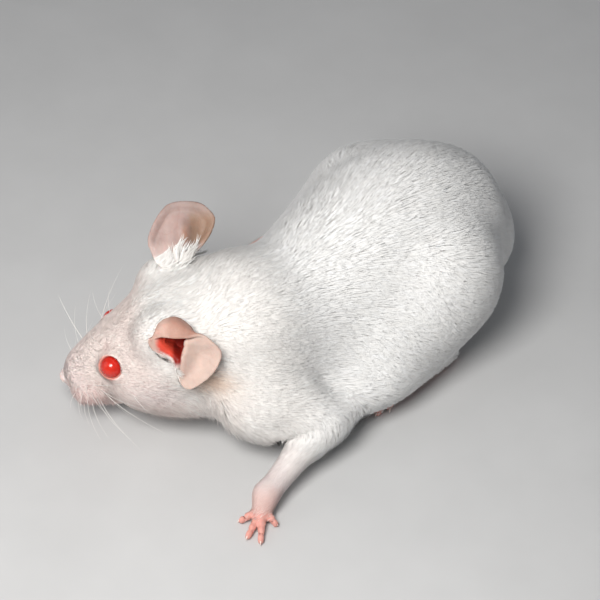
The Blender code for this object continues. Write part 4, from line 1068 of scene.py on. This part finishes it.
def unrolled_limbs(p, r):
    """Legs and tail unrolled each in its own strip."""
    u, v = np.zeros(len(p)), np.zeros(len(p))
    for k, joints in enumerate(ARMS):
        j = np.array(joints, float)
        m = (r["arm"] > 0.3) | (r["paw"] > 0.3)
        m &= (p[:, 0] > 4) if k == 0 else (p[:, 0] <= 4)
        m &= p[:, 1] < 44
        d = p - j[1]
        way, = unit((j[2] - j[1])[None])
        flat, = unit(np.cross(way, (0, 0, 1))[None])
        other = np.cross(way, flat)
        u = np.where(m, 0.24 * k + 0.2 * (np.arctan2(d @ other, d @ flat) / (2 * np.pi) + 0.5), u)
        v = np.where(m, (d @ way) / 26, v)
    m = r["tail"] > 0.05
    run = r["tail_run"]
    line = TAIL_LINE[:, :3]
    _, s = along(p, line)
    c = line[np.clip(s.round().astype(int), 0, len(line) - 1)]
    u = np.where(m, 0.48 + 0.2 * (np.arctan2((p - c)[:, 2], np.hypot((p - c)[:, 0], (p - c)[:, 1]) * np.sign((p - c)[:, 0])) / (2 * np.pi) + 0.5), u)
    v = np.where(m, run / 90, v)
    m = (r["foot"] > 0.3) & (r["tail"] <= 0.05)
    u = np.where(m, 0.74 + 0.12 * (p[:, 0] > 0) + 0.1 * np.clip(np.abs(np.abs(p[:, 0]) - 15.8) / 4, 0, 1), u)
    v = np.where(m, (p[:, 1] - 42) / 24, v)
    return np.stack([u, v], 1)


limbs = good & ((on["arm"] > 0.55) | (on["paw"] > 0.3) | (on["foot"] > 0.3) | (on["tail"] > 0.05))
rest = good & ~limbs
face = rest & (on["head"] > 0.5) & (on["ahead"] > 12.5)
crown = rest & ~face & (on["head"] > 0.5)
trunk = rest & ~face & ~crown
head_axis = unrolled(head_point((0, 0, -3.0)), HEAD_R @ np.array((0, -1.0, 0)), HEAD_R @ np.array((0, 0, -1.0)))
trunk_axis = unrolled((0.5, 40.0, 15.0), (0, 1, 0), (0, 0, -1))
cuts = np.quantile(root[trunk, 1], np.linspace(0, 1, 7))
cuts[0], cuts[-1] = -99, 999
half = on["q"][:, 0] > 0
coat = [tufts("coat_limbs", limbs, unrolled_limbs)]
coat += [tufts("coat_crown_left", crown & half, head_axis), tufts("coat_crown_right", crown & ~half, head_axis)]
coat += [tufts("coat_face_left", face & half, head_axis), tufts("coat_face_right", face & ~half, head_axis)]
for k in range(6):
    coat.append(tufts("coat_trunk_%d" % (k + 1), trunk & (root[:, 1] > cuts[k]) & (root[:, 1] <= cuts[k + 1]), trunk_axis))


# ---- eyes, claws and whiskers
def tube(points, radii, sides):
    """A closed tapering tube through points, with a pointed far end and a flat near one."""
    p, r = np.array(points, float), np.array(radii, float)
    t = unit(np.gradient(p, axis=0))
    side = unit(np.cross(t, (0.31, 0.22, 0.92)))
    top = np.cross(side, t)
    a = np.arange(sides) * 2 * np.pi / sides
    ring = p[:-1, None] + r[:-1, None, None] * (np.cos(a)[None, :, None] * side[:-1, None] + np.sin(a)[None, :, None] * top[:-1, None])
    verts = np.concatenate([ring.reshape(-1, 3), p[-1:], p[:1]])
    n, tri = len(p) - 1, []
    end, start = n * sides, n * sides + 1
    for k in range(n - 1):
        for i in range(sides):
            j = (i + 1) % sides
            u, v, x, y = k * sides + i, k * sides + j, (k + 1) * sides + j, (k + 1) * sides + i
            tri += [(u, x, v), (u, y, x)]
    for i in range(sides):
        j = (i + 1) % sides
        tri += [((n - 1) * sides + i, end, (n - 1) * sides + j), (i, j, start)]
    return verts, np.array(tri)


def joined(name, parts):
    """One piece from many small closed shapes."""
    at, verts, tris = 0, [], []
    for v, t in parts:
        verts.append(v)
        tris.append(t + at)
        at += len(v)
    return piece(name, mesh_of(name, np.concatenate(verts), np.concatenate(tris), 3))


def ball(s):
    """An eyeball: iris and pupil follow its axis."""
    e, a = head_point((s * EYE_AT[0], EYE_AT[1], EYE_AT[2])), eye_axis(s)
    x = unit(np.cross(a, (0.1, 0.2, 1.0)))
    y = np.cross(a, x)
    rings, sides = 40, 72
    th = np.linspace(0, np.pi, rings + 1)[1:-1]
    ph = np.arange(sides) * 2 * np.pi / sides
    unit_at = np.cos(th)[:, None, None] * a + np.sin(th)[:, None, None] * (np.cos(ph)[None, :, None] * x + np.sin(ph)[None, :, None] * y)
    d = np.concatenate([unit_at.reshape(-1, 3), [a, -a]])
    n, tri = len(th), []
    for k in range(n - 1):
        for i in range(sides):
            j = (i + 1) % sides
            tri += [(k * sides + i, (k + 1) * sides + i, (k + 1) * sides + j), (k * sides + i, (k + 1) * sides + j, k * sides + j)]
    for i in range(sides):
        j = (i + 1) % sides
        tri += [(n * sides, i, j), (n * sides + 1, (n - 1) * sides + j, (n - 1) * sides + i)]
    o = piece("eyeball_left" if s > 0 else "eyeball_right", mesh_of("eyeball", e + EYE_RADIUS * d, np.array(tri), 3))
    turn_off = np.degrees(np.arccos(np.clip(d @ a, -1, 1)))
    round_it = np.arctan2(d @ y, d @ x)
    # the middle is painted lighter red: a painted glow of light coming back out through the pupil; the edge is darker
    glow, iris, rim = (0.62, 0.026, 0.012), (0.56, 0.017, 0.008), (0.36, 0.011, 0.006)
    c = mixed(np.tile(glow, (len(d), 1)), iris, ease(turn_off, 20, 44))
    c = c * (1 + 0.07 * np.sin(23 * round_it + 3 * np.sin(5 * round_it)) * ease(turn_off, 24, 34) * ease(turn_off, 66, 52))[:, None]
    c = mixed(c, rim, ease(turn_off, 52, 78))
    paint(o.data, "tone", c)
    return o


eyes = [ball(1), ball(-1)]

claws = []
for at, heading, s, digits in PAWS:
    for k, (angle, reach) in enumerate(digits):
        size = 0.85 if digits is HIND_DIGITS else 0.50 if reach < 3.5 else 0.58
        t = np.radians(heading * s + angle * s)
        d = np.array((np.sin(t), -np.cos(t), 0.0))
        p = np.array(at) + d * (reach - DIGIT * 0.6)
        line = [(0.20, 0.66), (0.48, 0.80), (0.78, 0.72), (1.02, 0.48), (1.14, 0.20)]
        pts = [np.array((p[0], p[1], 0)) + d * x * size + np.array((0, 0, z)) for x, z in line]
        claws.append(tube(pts, np.array([0.22, 0.21, 0.16, 0.10, 0.015]) * size, 8))
claw_piece = joined("claws", claws)

whiskers = []
for s in (1, -1):
    for k in range(4):   # rows from the top
        for j in range(4 if k < 3 else 3):   # from the front back
            at = np.array((s * (3.6 + 0.42 * j + 0.28 * k), -23.4 + 1.35 * j + 0.25 * k, -2.6 - 0.95 * k - 0.1 * j))
            loc, n0 = above(head_point(at)[None])
            aim = np.array((s * (0.80 + 0.10 * k), -0.40 + 0.30 * j, 0.62 - 0.40 * k)) + rng.normal(0, 0.07, 3)
            reach = (5.2 + 2.5 * j - 0.5 * k) * rng.uniform(0.85, 1.15)
            thick = 0.036 + 0.005 * j
            aim = unit(aim)
            sag = np.array((0.0, 0.30, -0.16 + 0.05 * (2 - k)))
            u = np.linspace(0, 1, 9)
            pts = loc[0] - n0[0] * 0.15 + ((u[:, None] * aim + (u ** 2)[:, None] * sag) * reach) @ HEAD_R.T
            pts[:, 2] = np.maximum(pts[:, 2], 0.45 + 0.3 * u)
            whiskers.append(tube(pts, thick * (1 - 0.86 * u), 5))
    for at, aim, reach in (((3.4, -15.6, 3.4), (0.35, -0.2, 1.0), 6.0), ((3.9, -14.4, 3.8), (0.55, 0.1, 0.9), 4.6),
                           ((7.8, -13.0, -3.6), (1.0, 0.35, -0.5), 5.5), ((2.0, -19.5, -9.0), (0.35, 0.25, -1.0), 4.0)):
        loc, n0 = above(head_point((s * at[0], at[1], at[2]))[None])
        u = np.linspace(0, 1, 8)
        aim = unit(np.array((s * aim[0], aim[1], aim[2])))
        pts = loc[0] - n0[0] * 0.1 + ((u[:, None] * aim + (u ** 2)[:, None] * np.array((0, 0.28, -0.05))) * reach) @ HEAD_R.T
        whiskers.append(tube(pts, 0.032 * (1 - 0.86 * u), 5))
# the long one that stands up from the right pad
u = np.linspace(0, 1, 10)
loc, n0 = above(head_point((-3.9, -20.6, -1.6))[None])
pts = loc[0] - n0[0] * 0.15 + ((u[:, None] * unit(np.array((-0.62, -0.30, 0.74))) + (u ** 2)[:, None] * np.array((-0.03, 0.10, -0.05))) * 10.0) @ HEAD_R.T
whiskers.append(tube(pts, 0.062 * (1 - 0.8 * u), 6))
whisker_piece = joined("whiskers", whiskers)


# ---- materials
def material(name):
    m = bpy.data.materials.new(name)
    m.use_nodes = True
    t = m.node_tree
    return m, t, t.nodes["Principled BSDF"]


def node(t, kind, **values):
    n = t.nodes.new(kind)
    for k, v in values.items():
        if k in n.inputs:
            n.inputs[k].default_value = v
        else:
            setattr(n, k, v)
    return n


def tone_of(t):
    return node(t, "ShaderNodeAttribute", attribute_name="tone").outputs["Color"]


def where(t):
    return node(t, "ShaderNodeTexCoord").outputs["Object"]


def stretched(t, turn_by, scale):
    m = node(t, "ShaderNodeMapping")
    m.inputs["Rotation"].default_value = turn_by
    m.inputs["Scale"].default_value = scale
    t.links.new(where(t), m.inputs["Vector"])
    return m.outputs["Vector"]


def speckle(t, vector, scale, detail=4.0, rough=0.55):
    n = node(t, "ShaderNodeTexNoise", Scale=scale, Detail=detail, Roughness=rough)
    t.links.new(vector, n.inputs["Vector"])
    return n.outputs["Fac"]


def span(t, value, low, high, a=0.0, b=1.0):
    n = node(t, "ShaderNodeMapRange")
    for k, v in (("From Min", low), ("From Max", high), ("To Min", a), ("To Max", b)):
        n.inputs[k].default_value = v
    t.links.new(value, n.inputs["Value"])
    return n.outputs["Result"]


def maths(t, operation, a, b):
    n = node(t, "ShaderNodeMath", operation=operation)
    for i, v in enumerate((a, b)):
        if isinstance(v, (int, float)):
            n.inputs[i].default_value = v
        else:
            t.links.new(v, n.inputs[i])
    return n.outputs[0]


def blend_colour(t, kind, share, a, b):
    n = node(t, "ShaderNodeMix", data_type="RGBA", blend_type=kind)
    for i, v in ((0, share), (6, a), (7, b)):
        if isinstance(v, (int, float)):
            n.inputs[i].default_value = v
        elif isinstance(v, tuple):
            n.inputs[i].default_value = (*v, 1)
        else:
            t.links.new(v, n.inputs[i])
    return n.outputs[2]


def bump(t, shader, height, strength, distance):
    n = node(t, "ShaderNodeBump", Strength=strength, Distance=distance)
    t.links.new(height, n.inputs["Height"])
    t.links.new(n.outputs["Normal"], shader.inputs["Normal"])


# skin: tone by part, mottled; pores and creases where bare, hair-fine streaks under the coat, rings on the tail
skin_look, t, shader = material("mouse_skin")
parts = node(t, "ShaderNodeSeparateColor")
t.links.new(node(t, "ShaderNodeAttribute", attribute_name="parts").outputs["Color"], parts.inputs["Color"])
runs = node(t, "ShaderNodeSeparateColor")
t.links.new(node(t, "ShaderNodeAttribute", attribute_name="runs").outputs["Color"], runs.inputs["Color"])
bare, on_head, on_tail = parts.outputs[0], parts.outputs[1], parts.outputs[2]
tail_run, on_sheet, on_paws = runs.outputs[0], runs.outputs[1], runs.outputs[2]
mottle = speckle(t, where(t), 900.0, 5.0)
colour = blend_colour(t, "MULTIPLY", 1.0, tone_of(t), span(t, mottle, 0.3, 0.7, 0.93, 1.05))
blush = maths(t, "MULTIPLY", span(t, speckle(t, where(t), 330.0, 3.0), 0.45, 0.7), bare)
colour = blend_colour(t, "MULTIPLY", maths(t, "MULTIPLY", blush, 0.30), colour, (0.93, 0.78, 0.74))
veins = node(t, "ShaderNodeTexVoronoi", feature="DISTANCE_TO_EDGE", Scale=260.0)
warp = node(t, "ShaderNodeVectorMath", operation="ADD")
wobble = node(t, "ShaderNodeTexNoise", Scale=500.0)
t.links.new(where(t), wobble.inputs["Vector"])
small = node(t, "ShaderNodeVectorMath", operation="SCALE", Scale=0.0016)
t.links.new(wobble.outputs["Color"], small.inputs[0])
t.links.new(where(t), warp.inputs[0])
t.links.new(small.outputs[0], warp.inputs[1])
t.links.new(warp.outputs[0], veins.inputs["Vector"])
vein = maths(t, "MULTIPLY", span(t, veins.outputs["Distance"], 0.05, 0.0), on_sheet)
colour = blend_colour(t, "MULTIPLY", maths(t, "MULTIPLY", vein, 0.13), colour, (0.88, 0.55, 0.50))
t.links.new(colour, shader.inputs["Base Color"])
body_streaks = speckle(t, stretched(t, (0.25, 0, 0), (2600, 420, 2600)), 1.0, 3.0)
head_streaks = speckle(t, stretched(t, (-0.41, 0.0, 0.52), (3800, 800, 3800)), 1.0, 3.0)
streaks = node(t, "ShaderNodeMix", data_type="FLOAT")
t.links.new(on_head, streaks.inputs[0])
t.links.new(body_streaks, streaks.inputs[2])
t.links.new(head_streaks, streaks.inputs[3])
pores = speckle(t, where(t), 4200.0, 3.0)
creases = node(t, "ShaderNodeTexVoronoi", feature="DISTANCE_TO_EDGE", Scale=1900.0)
t.links.new(where(t), creases.inputs["Vector"])
wrinkle = maths(t, "ADD", maths(t, "MULTIPLY", pores, 0.35), maths(t, "MULTIPLY", span(t, creases.outputs["Distance"], 0.0, 0.16), 0.25))
rings = maths(t, "SINE", maths(t, "MULTIPLY", tail_run, 100 * 2 * np.pi / 0.55), 0.0)
rings = maths(t, "MULTIPLY", span(t, rings, -1.0, 1.0), on_tail)
cover = node(t, "ShaderNodeMix", data_type="FLOAT")
t.links.new(bare, cover.inputs[0])
t.links.new(streaks.outputs[0], cover.inputs[2])
t.links.new(wrinkle, cover.inputs[3])
bump(t, shader, maths(t, "ADD", cover.outputs[0], rings), 0.55, 0.00009)
t.links.new(span(t, mottle, 0.2, 0.8, 0.46, 0.62), shader.inputs["Roughness"])
shader.inputs["Subsurface Weight"].default_value = 0.22
shader.inputs["Subsurface Radius"].default_value = (1.0, 0.42, 0.28)
shader.inputs["Subsurface Scale"].default_value = 0.0007
shader.inputs["Specular IOR Level"].default_value = 0.35

# coat
coat_look, t, shader = material("mouse_coat")
fine = speckle(t, stretched(t, (0.2, 0, 0), (5200, 900, 5200)), 1.0, 2.0)
patchy = speckle(t, where(t), 260.0, 2.0)
colour = blend_colour(t, "MULTIPLY", 1.0, tone_of(t), span(t, fine, 0.25, 0.75, 0.95, 1.02))
colour = blend_colour(t, "MULTIPLY", 1.0, colour, span(t, patchy, 0.3, 0.7, 0.975, 1.01))
t.links.new(colour, shader.inputs["Base Color"])
t.links.new(span(t, fine, 0.2, 0.8, 0.55, 0.75), shader.inputs["Roughness"])
bump(t, shader, fine, 0.3, 0.00004)
shader.inputs["Specular IOR Level"].default_value = 0.22
shader.inputs["Sheen Weight"].default_value = 0.10
shader.inputs["Sheen Roughness"].default_value = 0.45

# eyes
eye_look, t, shader = material("mouse_eye")
colour = blend_colour(t, "MULTIPLY", 1.0, tone_of(t), span(t, speckle(t, where(t), 2400.0, 3.0), 0.3, 0.7, 0.93, 1.06))
t.links.new(colour, shader.inputs["Base Color"])
shader.inputs["Roughness"].default_value = 0.22
shader.inputs["Coat Weight"].default_value = 0.55
shader.inputs["Specular IOR Level"].default_value = 0.3
shader.inputs["Coat Roughness"].default_value = 0.02
bump(t, shader, speckle(t, where(t), 3000.0, 2.0), 0.05, 0.00002)

# claws and whiskers
claw_look, t, shader = material("mouse_claw")
colour = blend_colour(t, "MIX", span(t, speckle(t, where(t), 1800.0, 3.0), 0.35, 0.65), (0.86, 0.70, 0.63), (0.90, 0.79, 0.73))
t.links.new(colour, shader.inputs["Base Color"])
bump(t, shader, speckle(t, where(t), 5000.0, 2.0), 0.15, 0.00002)
shader.inputs["Roughness"].default_value = 0.3
whisker_look, t, shader = material("mouse_whisker")
colour = blend_colour(t, "MIX", span(t, speckle(t, where(t), 1200.0, 2.0), 0.35, 0.65), (0.93, 0.91, 0.88), (0.86, 0.83, 0.79))
t.links.new(colour, shader.inputs["Base Color"])
bump(t, shader, speckle(t, where(t), 6000.0, 2.0), 0.1, 0.00001)
shader.inputs["Roughness"].default_value = 0.35

skin_piece.data.materials.append(skin_look)
for o in coat:
    o.data.materials.append(coat_look)
for o in eyes:
    o.data.materials.append(eye_look)
claw_piece.data.materials.append(claw_look)
whisker_piece.data.materials.append(whisker_look)

for o in [skin_piece, claw_piece, whisker_piece] + coat + eyes:
    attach(o, "root")
flesh_nodes = [n for n in sorted(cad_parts) if not n.startswith("eye_")]
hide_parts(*flesh_nodes)
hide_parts("eye_left")
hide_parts("eye_right")

# ---- floor, light and camera
floor_mesh = bpy.data.meshes.new("studio_floor")
floor_mesh.from_pydata([(-3, -3, 0), (3, -3, 0), (3, 3, 0), (-3, 3, 0)], [], [(0, 1, 2, 3)])
floor = piece("studio_floor", floor_mesh)
floor_look, t, shader = material("studio_floor")
colour = blend_colour(t, "MIX", span(t, speckle(t, where(t), 60.0, 3.0), 0.3, 0.7), (0.56, 0.56, 0.56), (0.59, 0.59, 0.59))
t.links.new(colour, shader.inputs["Base Color"])
shader.inputs["Roughness"].default_value = 0.85
shader.inputs["Specular IOR Level"].default_value = 0.1
floor.data.materials.append(floor_look)

world = bpy.data.worlds.new("studio")
world.use_nodes = True
world.node_tree.nodes["Background"].inputs["Color"].default_value = (0.86, 0.90, 0.96, 1)
world.node_tree.nodes["Background"].inputs["Strength"].default_value = 0.19
scene = bpy.context.scene
scene.world = world
scene.view_settings.view_transform = "Standard"

RIGHT, UP, BACK = np.array((0.5446, 0.8387, 0.0)), np.array((-0.5930, 0.3851, 0.7071)), np.array((0.5930, -0.3851, 0.7071))
TARGET = np.array((0.0, 35.0, 15.5)) - SHIFT


def lamp(name, at, aim, size, power, colour=(1, 1, 1)):
    light = bpy.data.lights.new(name, "AREA")
    light.shape = "DISK"
    light.size, light.energy, light.color = size, power, colour
    o = bpy.data.objects.new(name, light)
    o.location = Vector(at) / 1000
    o.rotation_euler = (Vector(at) - Vector(aim)).to_track_quat("Z", "Y").to_euler()
    scene.collection.objects.link(o)


middle_at = TARGET + (0, 5, -3)
lamp("key", middle_at + 215 * BACK - 48 * RIGHT + 34 * UP, middle_at - 6 * RIGHT, 0.10, 0.50, (1.0, 0.985, 0.96))
lamp("fill_front", middle_at + (-200, -400, 220), middle_at, 0.45, 0.40, (1.0, 0.97, 0.96))
lamp("fill_back", middle_at + (-160, 380, 380), middle_at, 0.5, 0.16, (0.97, 0.98, 1.0))

camera = bpy.data.cameras.new("camera")
camera.lens, camera.sensor_width, camera.clip_start = 125.73, 36.0, 0.005
camera_object = bpy.data.objects.new("camera", camera)
pose = Matrix(np.column_stack([RIGHT, UP, BACK]).tolist()).to_4x4()
pose.translation = Vector(TARGET + 5.04 * RIGHT + 1.89 * UP + 330 * BACK) / 1000
camera_object.matrix_world = pose
scene.collection.objects.link(camera_object)
scene.camera = camera_object
